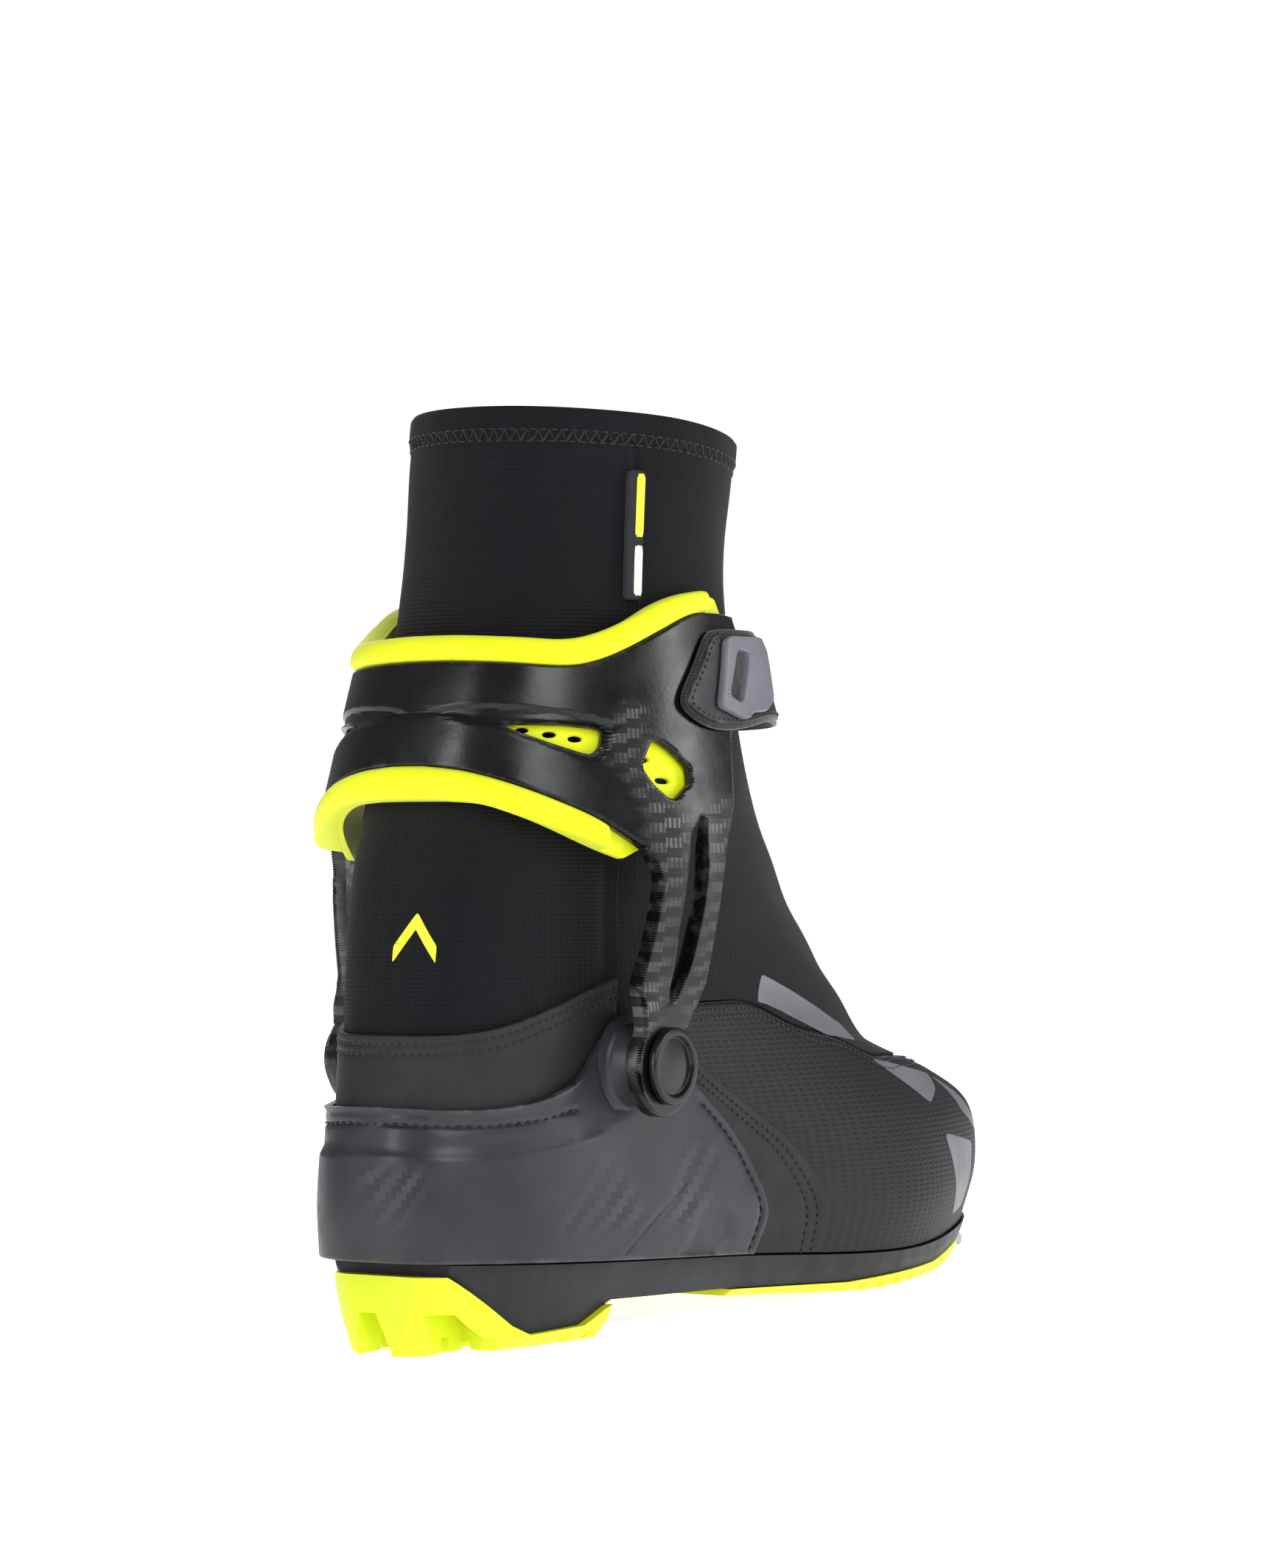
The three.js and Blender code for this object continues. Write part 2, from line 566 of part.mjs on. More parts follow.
function overlay(side) {
  const lift = (f) => (s) => {
    const [a, t] = f(s);
    return [a, Math.max(t, 0.03)];
  };
  const [start, end] = [OVERLAY_REAR, OVERLAY_FRONT].map((points) => lift(seam(points, side)));
  return panel({
    bottom: line(start(0), end(0)), top: line(start(1), end(1)), start, end, nu: 6, nv: 10, ...OVER,
  });
}

function heelPadding() {
  const half = 0.36;
  return sheet((a, t, d) => offset(last, a, t, d), steps(28, -half, half), steps(5, 1.7, 5.8),
    -SHELL - LAY - PAD, -SHELL - LAY);
}

function tongue() {
  return sheet((a, t, d) => offset(last, a, t, d), steps(10, 0.8, 1.2), steps(6, 3.4, 6.2),
    -SHELL - LAY - PAD, -SHELL - LAY);
}

const SEAM_TAB = [0.334, 0.366]; // from and to, round the leg

// A woven tab sewn into the gaiter's outer seam.
function seamTab() {
  return sheet((a, t, d) => offset(last, a, t, d), steps(3, ...SEAM_TAB), steps(4, 9.6, 10.6), FIT, FIT + 1.6);
}

// ---------- cuff ----------
const FLAT = 60; // millimetres of flat pattern for each unit of a
const hub = (p) => Math.hypot(p.x - pivotAt()[0], p.z - pivotAt()[1]);

// Flat pattern (along, height, depth) onto the cuff's surface, with a level face round each pivot.
function wrapCuff(geometry) {
  const g = geometry.clone();
  const position = g.attributes.position;
  for (let i = 0; i < position.count; i += 1) {
    const a = position.getX(i) / FLAT;
    const z = position.getY(i);
    const d = position.getZ(i);
    const arm = 1 + (ARM / CUFF) * smooth((ARM_FADE[0] - z) / ARM_FADE[1]);
    const deep = d < 0 ? d * arm : d;
    const p = offset(cuffSurface, a, z, deep);
    const side = a > 0 ? -1 : 1;
    const level = smooth((HUB[0] - hub(cuffSurface(a, z))) / HUB[1]);
    const flat = cuffSurface(a, z);
    p.x = mix(p.x, flat.x, level);
    p.z = mix(p.z, flat.z, level);
    p.y = mix(p.y, side * (armFace(side) + deep), level);
    position.setXYZ(i, p.x, p.y, p.z);
  }
  return g;
}

const flatPoint = (p, side = 1) => {
  const [a, z] = onCuff(p);
  return new THREE.Vector2(side * a * FLAT, z);
};

const flatLine = (points, side = 1) => new THREE.SplineCurve(points.map((p) => flatPoint(p, side)));

const TALL = 3; // how much longer an edge may be up the leg than round it

// A flat sheet from depth d0 to d1, split finely enough to bend.
function flatSheet(outline, holes, d0, d1) {
  const prism = (points, from, to) =>
    new THREE.ExtrudeGeometry(new THREE.Shape(points), { depth: to - from, bevelEnabled: false })
      .translate(0, 0, from);
  return cut(prism(outline, d0, d1), ...holes.map((h) => prism(h, d0 - 1, d1 + 1)));
}

const EDGE = 6.4 / Math.max(K.x, K.y, K.z); // longest edge round the leg

function bendable(geometry) {
  const g = geometry.index ? geometry.toNonIndexed() : geometry.clone();
  for (const name of Object.keys(g.attributes)) if (name !== 'position') g.deleteAttribute(name);
  g.scale(1, 1 / TALL, 1 / TALL);
  return mergeVertices(new TessellateModifier(EDGE, 40).modify(g), 1e-3).scale(1, TALL, TALL);
}

// Points of the outer half from the rear centre out, and the same mirrored: one closed outline.
function mirrored(half) {
  const outline = [...half, ...[...half].reverse().map((p) => new THREE.Vector2(-p.x, p.y))];
  return outline.filter((p, i) => p.distanceTo(outline[(i + 1) % outline.length]) > 0.05);
}

const CUFF_TOP = [[-7.4, 186], [-4, 185.3], [6, 184.4], [14.4, 186], [24, 189.7], [35, 194.5], [48, 199.4],
  [60, 200.6], [70, 200]];
const CUFF_WING = [[76, 190], [73, 178], [61, 168], [58, 158]];
const CUFF_FOOT = [[-16.4, 157.2], [-14.5, 155.4], [-8.2, 151.2], [3.8, 144.7], [12, 140]];
const STRUT_REAR = [[20.5, 135], [24.3, 128], [24, 120], [22.4, 108], [20, 97]];
const STRUT_FRONT = [[55, 146], [50.5, 135], [47.5, 121], [46, 104], [45.4, 92]];

function lobe(from, to, radius = LOBE, count = 12) {
  return steps(count, from, to).map((angle) =>
    flatPoint([PIVOT[0] + radius * Math.cos(angle), PIVOT[1] + radius * Math.sin(angle)]),
  );
}

function cuffOutline() {
  const half = [
    ...flatLine(CUFF_TOP).getPoints(20),
    ...flatLine(CUFF_WING).getPoints(8),
    ...flatLine(STRUT_FRONT).getPoints(8),
    ...lobe(0.75, -Math.PI - 0.75, LOBE, 16),
    ...flatLine([...STRUT_REAR].reverse()).getPoints(8),
    ...flatLine([...CUFF_FOOT].reverse()).getPoints(12),
  ];
  half[0].x = 0;
  half[half.length - 1].x = 0;
  return mirrored(half);
}

const WINDOW_REAR = [[-9, 168.6], [3, 168.2], [12.6, 167], [11, 162.6], [8, 160], [0, 163]];
const WINDOW_FRONT = [[27.4, 165], [33.5, 161.6], [38.7, 157.2], [38.3, 153], [30.8, 147.8], [25.4, 152],
  [22.3, 157]];
const SLIT = [[42, 145], [40.8, 130], [38.4, 112], [35.4, 95], [33.2, 92], [32.2, 99], [32.6, 112], [34.6, 128],
  [36.8, 139]];
const VENTS = [[-5.6, 167.4], [-0.2, 166.2], [5.8, 165], [24.6, 159.6], [30.6, 154]];

function cuffShell() {
  const holes = [];
  for (const side of [-1, 1])
    for (const hole of [WINDOW_REAR, WINDOW_FRONT, SLIT]) holes.push(hole.map((p) => flatPoint(p, side)));
  const shell = wrapCuff(bendable(flatSheet(cuffOutline(), holes, -CUFF, 0)));
  const bores = [];
  for (const side of [-1, 1]) bores.push(bar(PIN + FIT, side * 30, side * 70, ...pivotAt()));
  return cut(shell, ...bores);
}

const LINER_TOP = [[-4.4, 193], [0, 192.1], [7.8, 191.6], [16, 193.6], [26.5, 198], [36.3, 202.4], [46, 205.2],
  [56, 206.4], [66, 205]];
const LINER_WING = [[74, 197], [73, 184], [66, 172], [60.5, 162], [60, 154]];
const LINER_UNDER = [[52, 149], [40, 143], [28, 137.5], [17, 132.4]];
const LINER_FOOT = [[-17.6, 148], [-15, 147], [-11, 144.4], [-3.2, 140.4], [4, 137.2], [10, 134.8]];

function cuffLiner() {
  const half = [
    ...flatLine(LINER_TOP).getPoints(18),
    ...flatLine(LINER_WING).getPoints(6),
    ...flatLine(LINER_UNDER).getPoints(5),
    ...flatLine([...LINER_FOOT].reverse()).getPoints(12),
  ];
  half[0].x = 0;
  half[half.length - 1].x = 0;
  const vents = [];
  for (const side of [-1, 1])
    for (const p of VENTS) {
      const centre = flatPoint(p, side);
      vents.push(steps(7).slice(0, 7).map((s) => new THREE.Vector2(
        centre.x + 0.75 * Math.cos(2 * Math.PI * s), centre.y + 1.2 * Math.sin(2 * Math.PI * s))));
    }
  const back = -CUFF - LINER_GAP;
  const front = back - LINER;
  const sheetPart = flatSheet(mirrored(half), vents, front, back);
  const lips = cut(
    flatSheet(mirrored(half), [], front, LIP),
    ...[-LAY, LAY].map((dz) => flatSheet(cuffOutline(), [], front - 1, LIP + 1).translate(0, dz, 0)),
    ...[-1, 1].map((side) => box(side * 59 - 40, side * 59 + 40, 141, STRAP_TOP + 2.5, front - 1, LIP + 1)),
  );
  return wrapCuff(bendable(joined(sheetPart, lips)));
}

// ---------- strap ----------
const STRAP_TAB = [[57.6, 195.4], [51.6, 193.6], [44, 184.5], [38.2, 176.4], [39.4, 172], [48, 168], [60, 167.6]];
const STRAP_TOP = 196;
const STRAP_LOW = 170.5;
const HINGE_A = -0.58; // where the strap starts, on the inner side
const ANCHOR_A = -0.44;

// The strap runs the long way round, by the front: its pattern counts the inner side as more than 1.
function strap() {
  const tab = flatLine([[80, STRAP_TOP], ...STRAP_TAB, [80, STRAP_LOW]]).getPoints(24);
  const start = (2 + HINGE_A) * FLAT;
  const outline = [new THREE.Vector2(start, STRAP_TOP), ...tab, new THREE.Vector2(start, STRAP_LOW)];
  return wrapStrap(bendable(flatSheet(outline, [], LAY, LAY + STRAP)));
}

function wrapStrap(g) {
  const position = g.attributes.position;
  for (let i = 0; i < position.count; i += 1) {
    const a = position.getX(i) / FLAT;
    const hug = STRAP_HUG * smooth((HUG_SHARE[0] - Math.abs(1 - a)) / HUG_SHARE[1]);
    const p = offset(cuffSurface, a, position.getY(i), position.getZ(i) - hug);
    position.setXYZ(i, p.x, p.y, p.z);
  }
  return g;
}

const PULL_OUTLINE = [[57, 193], [78, 193.4], [82, 190], [80, 176], [73, 172.4], [66, 172.2], [62, 169.8],
  [50, 173.4]];
const PULL_SLOT = [[61, 189.4], [67.4, 188.8], [60, 174.4], [54.6, 176.6]];

function strapPull() {
  const [outline, slot] = [PULL_OUTLINE, PULL_SLOT].map((points) => points.map((p) => flatPoint(p)));
  const base = LAY * 2 + STRAP;
  return wrapStrap(bendable(flatSheet(outline, [slot], base, base + PULL)));
}

function strapAnchor() {
  const [from, to] = [ANCHOR_A, HINGE_A + 0.008].map((a) => a * FLAT);
  const outline = [[from, STRAP_LOW + 3], [to, STRAP_LOW], [to, STRAP_TOP], [from, STRAP_TOP - 5]];
  const points = outline.map(([x, z]) => new THREE.Vector2(x, z));
  return wrapCuff(bendable(flatSheet(points, [], LAY, LAY + STRAP)));
}

// A flat-headed rivet, sitting on the anchor.
function anchorRivet() {
  const a = mix(ANCHOR_A, HINGE_A, 0.4);
  const z = (STRAP_LOW + STRAP_TOP) / 2;
  const base = offset(cuffSurface, a, z, LAY + STRAP + FIT);
  const out = offset(cuffSurface, a, z, 10).sub(base).normalize();
  const g = new THREE.CylinderGeometry(3.2, 4, 1.2, 24).translate(0, 0.6, 0);
  g.applyQuaternion(new THREE.Quaternion().setFromUnitVectors(new THREE.Vector3(0, 1, 0), out));
  return g.translate(base.x, base.y, base.z);
}

// ---------- pivots ----------
function pivotPin(side) {
  const [x, z] = pivotAt();
  return bar(PIN, side * (bossFace(side) - PIN_SEAT + FIT), side * (armFace(side) - 0.2), x, z);
}

function pivotWasher(side) {
  const [x, z] = pivotAt();
  const from = bossFace(side) + FIT;
  const ring = bar(WASHER[0], side * from, side * (from + WASHER[1]), x, z, 40);
  return cut(ring, bar(PIN + FIT, side * (from - 3), side * (from + 3), x, z));
}

function pivotCap(side) {
  const [x, z] = pivotAt();
  const [r, h] = CAP;
  const profile = [[0, 0], [r - 0.4, 0], [r, 0.6], [r, h - 0.6], [r - 0.7, h], [r - 2.2, h], [r - 2.8, h - 0.6],
    [0, h - 0.6]];
  const g = new THREE.LatheGeometry(profile.map(([u, v]) => new THREE.Vector2(u, v)), 40);
  if (side < 0) g.rotateX(Math.PI);
  return g.translate(x, side * (armFace(side) + FIT), z);
}

// ---------- zip ----------
const zipPoint = (t, d) => offset(last, 1, t, d);
const SLIDER_T = 10.42; // where the closed zip's slider sits

function zipChain() {
  const half = ZIP[0] / 2;
  const place = (s, t, d) => {
    const p = zipPoint(t, d);
    return p.setY(p.y + s * half);
  };
  return sheet(place, [-1, 1], steps(8, GAITER + 0.02, TOP - HEM_WIDTH - 0.02), FIT, FIT + ZIP[1]);
}

const sliderSeat = () => zipPoint(SLIDER_T, FIT + ZIP[1] + 0.9);

function zipSlider() {
  const at = sliderSeat();
  const [across, tall, out] = SLIDER;
  const body = box(0, out, -across / 2, across / 2, -tall / 2, tall / 2);
  const ears = [-1, 1].map((side) => {
    const ys = [side * EAR[1], side * (EAR[1] + 0.9)].sort((p, q) => p - q);
    return box(out - 0.2, out + EAR[0] + 1.1, ...ys, -1.2, 1.2);
  });
  const pin = bar(EAR[2], -EAR[1] - 0.2, EAR[1] + 0.2, out + EAR[0], 0, 16);
  return joined(body, ...ears, pin).translate(at.x, at.y, at.z);
}

// The pull's barrel turns on the slider's pin, and its plate widens below the ears.
function zipPull() {
  const at = sliderSeat();
  const [half, long, thick] = PULL_TAB;
  const neck = EAR[1] - FIT;
  const round = steps(8, 0, Math.PI).map((q) => [half * Math.cos(q), -long - half * Math.sin(q)]);
  const outline = [[-neck, 0], [-neck, -3.4], [-half, -5], ...round.reverse(), [half, -5], [neck, -3.4],
    [neck, 0]];
  const plate = flatSheet(outline.map(([x, y]) => new THREE.Vector2(x, y)), [], -thick / 2, thick / 2);
  plate.rotateX(Math.PI / 2).rotateZ(Math.PI / 2);
  const barrel = bar(EAR[2] + FIT + 0.5, -neck, neck, 0, 0, 20);
  const g = cut(joined(plate, barrel), bar(EAR[2] + FIT, -neck - 1, neck + 1, 0, 0, 20));
  return g.translate(at.x + SLIDER[2] + EAR[0], at.y, at.z);
}

// ---------- materials ----------
const paint = (color, roughness, metalness = 0) =>
  new THREE.MeshStandardMaterial({ color, roughness, metalness });
const yellowRubber = paint('#e6f23c', 0.55);
const yellowFoam = paint('#f2ff1e', 0.6);
const chassis = paint('#33353a', 0.55);
const counterPlastic = paint('#43464d', 0.45);
const cuffPlastic = paint('#17181b', 0.35);
const softshell = paint('#12141c', 0.85);
const coated = paint('#2b2c31', 0.6);
const synthetic = paint('#2a292a', 0.7);
const lining = paint('#1b1c20', 0.95);
const webbing = paint('#1d1e22', 0.8);
const greyPlastic = paint('#9a98a2', 0.5);
const steel = paint('#b9bcc0', 0.3, 1);
const board = paint('#8d8468', 0.9);

// ---------- the boot ----------
const boot = new THREE.Group();
function add(name, geometry, material) {
  const mesh = new THREE.Mesh(geometry, material);
  mesh.name = name;
  boot.add(mesh);
}

add('outsole_heel', heelOutsole(), yellowRubber);
add('outsole_forefoot', forefootOutsole(), yellowRubber);
add('midsole', midsole(), chassis);
add('toe_bar', toeBar(), steel);
add('lasting_board', lastingBoard(), board);
add('footbed', footbed(), lining);
add('vamp', vamp(), coated);
add('quarter_sleeve', quarterSleeve(), softshell);
add('flex_sleeve', flexSleeve(), softshell);
add('gaiter', gaiter(), softshell);
add('gaiter_hem', gaiterHem(), softshell);
add('ankle_band', ankleBand(), synthetic);
add('heel_counter', heelCounter(), counterPlastic);
add('heel_padding', heelPadding(), lining);
add('tongue', tongue(), lining);
add('seam_tab', seamTab(), webbing);
add('cuff_shell', cuffShell(), cuffPlastic);
add('cuff_liner', cuffLiner(), yellowFoam);
add('strap', strap(), webbing);
add('strap_pull', strapPull(), greyPlastic);
add('strap_anchor', strapAnchor(), webbing);
add('anchor_rivet', anchorRivet(), steel);
add('zip_chain', zipChain(), webbing);
add('zip_slider', zipSlider(), steel);
add('zip_pull', zipPull(), webbing);
for (const [name, side] of [['outer', -1], ['inner', 1]]) {
  add(`overlay_${name}`, overlay(-side), synthetic);
  add(`pivot_pin_${name}`, pivotPin(side), steel);
  add(`pivot_washer_${name}`, pivotWasher(side), greyPlastic);
  add(`pivot_cap_${name}`, pivotCap(side), cuffPlastic);
}
boot.rotation.y = Math.atan(REST_TILT);

export default boot;
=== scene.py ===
import math

import bmesh
import bpy
import numpy as np
from mathutils import Matrix, Vector
from mathutils.geometry import delaunay_2d_cdt

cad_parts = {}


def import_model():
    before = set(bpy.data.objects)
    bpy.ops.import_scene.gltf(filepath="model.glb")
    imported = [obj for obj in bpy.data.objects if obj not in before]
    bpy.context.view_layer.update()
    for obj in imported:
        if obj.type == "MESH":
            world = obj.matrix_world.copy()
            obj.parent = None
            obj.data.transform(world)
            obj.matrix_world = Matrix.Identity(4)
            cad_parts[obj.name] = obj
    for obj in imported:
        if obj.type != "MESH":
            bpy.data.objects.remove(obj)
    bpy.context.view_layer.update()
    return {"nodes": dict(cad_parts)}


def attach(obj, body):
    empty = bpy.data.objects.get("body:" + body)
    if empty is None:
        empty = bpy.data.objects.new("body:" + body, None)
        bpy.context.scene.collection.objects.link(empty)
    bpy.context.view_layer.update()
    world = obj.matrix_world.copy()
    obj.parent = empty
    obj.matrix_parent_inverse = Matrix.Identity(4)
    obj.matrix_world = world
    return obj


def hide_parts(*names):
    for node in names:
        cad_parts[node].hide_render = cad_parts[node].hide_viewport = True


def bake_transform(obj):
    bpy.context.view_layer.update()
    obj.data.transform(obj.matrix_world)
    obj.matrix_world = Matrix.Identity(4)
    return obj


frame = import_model()

REST_TILT = 0.0377
SHELL, TRIM, COUNTER, LAY, FIT = 2.4, 1.1, 2.8, 0.7, 0.35
CUFF, ARM, LINER, LINER_GAP, LIP = 2.2, 2.2, 1.3, 1.0, 1.8
PIVOT, PIVOT_Y, LOBE, CAP = (31, 75.5), (52.5, 55.5), 14, (10.6, 2.6)
BOSS, BOSS_BEHIND = 11.5, 5.9
PAD, BOARD, FOOTBED = 3.4, 2.2, 4.2
STRAP, STRAP_HUG, PULL = 2, 2.6, 1.5
VAMP_REAR, THROAT, GAITER = 0.41, 3.9, 9.05
TGAP, FLAT = 0.014, 60
LEG_ROUND, FOOT_ROUND = 130, 280  # millimetres round the leg, and round the foot, for each unit of a
BEND = (97, 142)  # heights between which the softshell passes from the foot to the cuff
HEM, ZIG_COUNT, ZIG_RISE = 0.2, 44, 0.075
SEAM_STITCH = 2.5
FLOOR_RADIUS = 4.0  # metres

# ---------- curves and surfaces ----------


def smooth(t):
    k = np.clip(t, 0, 1)
    return k * k * (3 - 2 * k)


def mix(a, b, t):
    return a + (b - a) * t


def hermite(xs, ys, at):
    """A smooth line through (xs, ys), level beyond its ends."""
    xs, ys = np.asarray(xs, float), np.asarray(ys, float)
    x = np.clip(np.asarray(at, float), xs[0], xs[-1])
    step = np.diff(xs)
    slope = np.diff(ys) / step
    m = np.empty(len(xs))
    m[0], m[-1] = slope[0], slope[-1]
    m[1:-1] = (slope[:-1] * step[1:] + slope[1:] * step[:-1]) / (xs[2:] - xs[:-2])
    i = np.clip(np.searchsorted(xs, x, side="right") - 1, 0, len(xs) - 2)
    h = xs[i + 1] - xs[i]
    q = (x - xs[i]) / h
    value = ys[i] * (1 + 2 * q) * (1 - q) ** 2 + ys[i + 1] * q * q * (3 - 2 * q)
    return value + m[i] * h * q * (1 - q) ** 2 - m[i + 1] * h * q * q * (1 - q)


def cubic(p0, p1, p2, p3, q):
    """Catmull-Rom from p1 to p2."""
    return 0.5 * (
        2 * p1
        + (p2 - p0) * q
        + (2 * p0 - 5 * p1 + 4 * p2 - p3) * q * q
        + (3 * p1 - p0 - 3 * p2 + p3) * q**3
    )


# rear x, front x, z at the rear, waist, ball and front, half widths, squareness at the rear and front
GIRTHS = [
    (-30, 252, (24, 20, 17, 23), (41, 38, 49, 47), (0.66, 0.62)),
    (-31, 260, (39, 38, 34, 40), (41.5, 39, 51, 48), (0.66, 0.62)),
    (-30, 257, (55, 60, 55, 56.5), (40.5, 37, 47, 45), (0.66, 0.63)),
    (-28, 239, (69, 78, 73, 66), (40, 35, 38, 37.5), (0.64, 0.71)),
    (-26, 211, (84, 94, 88, 73), (40, 34, 30, 28), (0.62, 0.8)),
    (-24, 194, (100, 109, 105, 88), (40.5, 35, 30, 26), (0.6, 0.88)),
    (-21, 173, (118, 124, 121, 107), (41.5, 37, 32, 26), (0.62, 0.9)),
    (-16, 152, (138, 142, 139, 129), (42.5, 40, 34, 30), (0.68, 0.92)),
    (-8, 133, (160, 161, 158, 154), (42.5, 42, 39, 34), (0.78, 0.95)),
    (0, 117, (186, 186, 185, 184), (43, 43, 42, 38), (0.9, 1)),
    (5, 111, (216, 216, 215, 214), (42.5, 43, 42, 39), (0.95, 1)),
    (9, 114, (256, 254, 251, 248), (41, 43, 43, 41), (0.95, 1)),
]
TOP = len(GIRTHS) - 1


def sway(x, z):
    return hermite([-30, 90, 170, 255], [0, -2, -1, 7], x) * np.clip(1 - z / 130, 0, 1)


def share(a):
    return (1 - np.cos(math.pi * a)) / 2


def girth(k, a):
    rear, front, z, w, p = GIRTHS[k]
    c, s = share(a), np.sin(math.pi * a)
    x = mix(rear, front, c)
    height = hermite([0, 0.4, 0.7, 1], z, c)
    half = hermite(
        [0, 0.15, 0.4, 0.7, 0.92, 1], [w[0], w[0], w[1], w[2], w[3], w[3]], c
    )
    y = -np.sign(s) * np.abs(s) ** mix(p[0], p[1], c) * half + sway(x, height)
    return np.stack([x, y, height], -1)


def last(a, t):
    """The upper's outer face: a round the leg (0 rear, 0.5 outer side, 1 front), t up it."""
    a, t = np.broadcast_arrays(np.asarray(a, float), np.asarray(t, float))
    rings = [girth(k, a) for k in range(TOP + 1)]
    rings = (
        [2 * rings[0] - rings[1]]
        + rings
        + [2 * rings[TOP] - rings[TOP - 1], 3 * rings[TOP] - 2 * rings[TOP - 1]]
    )
    rings = np.stack(rings)
    i = np.clip(np.floor(t).astype(int), 0, TOP - 1)
    q = (t - i)[..., None]
    pick = [
        np.take_along_axis(
            rings, np.broadcast_to((i + k)[None, ..., None], (1,) + a.shape + (3,)), 0
        )[0]
        for k in range(4)
    ]
    p0, p1, p2, p3 = pick
    return cubic(p0, p1, p2, p3, q)


# height, rear x, front x, half width, centre y, squareness at the rear
CUFF_GIRTHS = np.array(
    [
        (60, -19, 140, 50.5, 1.5, 0.6),
        (76, -19, 140, 54, 1.5, 0.6),
        (92, -19, 140, 57, 1.5, 0.7),
        (110, -19, 140, 61, 2, 0.8),
        (126, -19, 140, 62.5, 2, 0.8),
        (140, -18.7, 140, 61, 1.5, 0.8),
        (148, -18, 139, 59.5, 1, 0.77),
        (157, -16.5, 136, 57.3, 0.8, 0.77),
        (171, -12.5, 130, 54.5, 0.6, 0.75),
        (186, -7.5, 123, 52, 0.4, 0.74),
        (200, -1.5, 117, 49.2, 0.2, 0.74),
        (215, 3, 114, 47.8, 0, 0.75),
    ]
)


def cuff(a, z):
    a, z = np.broadcast_arrays(np.asarray(a, float), np.asarray(z, float))
    rear, front, half, centre, square = (
        hermite(CUFF_GIRTHS[:, 0], CUFF_GIRTHS[:, i], z) for i in range(1, 6)
    )
    c, s = share(a), np.sin(math.pi * a)
    y = -np.sign(s) * np.abs(s) ** mix(square, 1.05, c) * half + centre
    return np.stack([mix(rear, front, c), y, z], -1)


def skin(surface, u, v, d, step=1e-3):
    """The point at distance d outside a surface."""
    du = surface(u + step, v) - surface(u - step, v)
    dv = surface(u, v + step) - surface(u, v - step)
    n = np.cross(du, dv)
    n /= np.linalg.norm(n, axis=-1, keepdims=True)
    return surface(u, v) + n * np.asarray(d, float)[..., None]


def bisect(f, low, high):
    for _ in range(26):
        m = (low + high) / 2
        below = f(m) < 0
        low, high = np.where(below, m, low), np.where(below, high, m)
    return (low + high) / 2


KNOTS = np.linspace(0, TOP, 1101)
REAR_X, FRONT_X = last(0.0, KNOTS)[:, 0], last(1.0, KNOTS)[:, 0]


def on_last(points):
    """(a, t) of the outer side's points that the side view shows at x, z."""
    x, z = np.asarray(points, float).T

    def angle(t):
        rear, front = np.interp(t, KNOTS, REAR_X), np.interp(t, KNOTS, FRONT_X)
        return np.arccos(np.clip(1 - 2 * (x - rear) / (front - rear), -1, 1)) / math.pi

    t = bisect(lambda k: last(angle(k), k)[..., 2] - z, np.zeros_like(x), np.full_like(x, TOP))
    return np.stack([angle(t), t], -1)


def on_cuff(points):
    """Flat pattern point (millimetres round the leg, height) of the side view's x, z."""
    x, z = np.asarray(points, float).T
    rear, front = (
        hermite(CUFF_GIRTHS[:, 0], CUFF_GIRTHS[:, i], z) for i in (1, 2)
    )
    c = (x - rear) / (front - rear)
    return np.stack([np.arccos(np.clip(1 - 2 * c, -1, 1)) / math.pi * FLAT, z], -1)


def arm_face(side):
    return np.where(side < 0, PIVOT_Y[0], PIVOT_Y[1])


def wrap_cuff(p, q, d):
    a = p / FLAT
    deep = np.where(d < 0, d * (1 + (ARM / CUFF) * smooth((147 - q) / 14)), d)
    flat = cuff(a, q)
    out = skin(cuff, a, q, deep)
    side = np.where(a > 0, -1, 1)
    hub = np.hypot(flat[..., 0] - PIVOT[0], flat[..., 2] - PIVOT[1])
    level = smooth((27 - hub) / 10)
    out[..., 0] = mix(out[..., 0], flat[..., 0], level)
    out[..., 2] = mix(out[..., 2], flat[..., 2], level)
    out[..., 1] = mix(out[..., 1], side * (arm_face(side) + deep), level)
    return out


def wrap_strap(p, q, d):
    a = p / FLAT
    return skin(cuff, a, q, d - STRAP_HUG * smooth((0.42 - np.abs(1 - a)) / 0.14))


def on_skin(across, up):
    """The last as a flat pattern whose units are about millimetres."""
    return lambda p, q, d: skin(last, p / across, q / up, d)


def world(points):
    p = np.asarray(points, float)
    c, s = 1 / math.hypot(1, REST_TILT), REST_TILT / math.hypot(1, REST_TILT)
    x, y, z = p[..., 0], p[..., 1], p[..., 2]
    return np.stack([x * c + z * s, y, z * c - x * s], -1) / 1000


def spline(points, count):
    """Catmull-Rom line through points, as count + 1 points."""
    p = np.asarray(points, float)
    p = np.vstack([2 * p[0] - p[1], p, 2 * p[-1] - p[-2]])
    at = np.linspace(0, len(p) - 3, count + 1)
    i = np.minimum(at.astype(int), len(p) - 4)
    q = (at - i)[:, None]
    p0, p1, p2, p3 = p[i], p[i + 1], p[i + 2], p[i + 3]
    return cubic(p0, p1, p2, p3, q)


def seam(points, side=1, count=120):
    """(a, t) along a smooth line on the last through side view points."""
    on = on_last(points)
    run = np.concatenate(
        [[0], np.cumsum(np.hypot(*np.diff(np.asarray(points, float), axis=0).T))]
    )
    s = np.linspace(0, 1, count + 1) * run[-1]
    return np.stack([side * hermite(run, on[:, 0], s), hermite(run, on[:, 1], s)], -1)


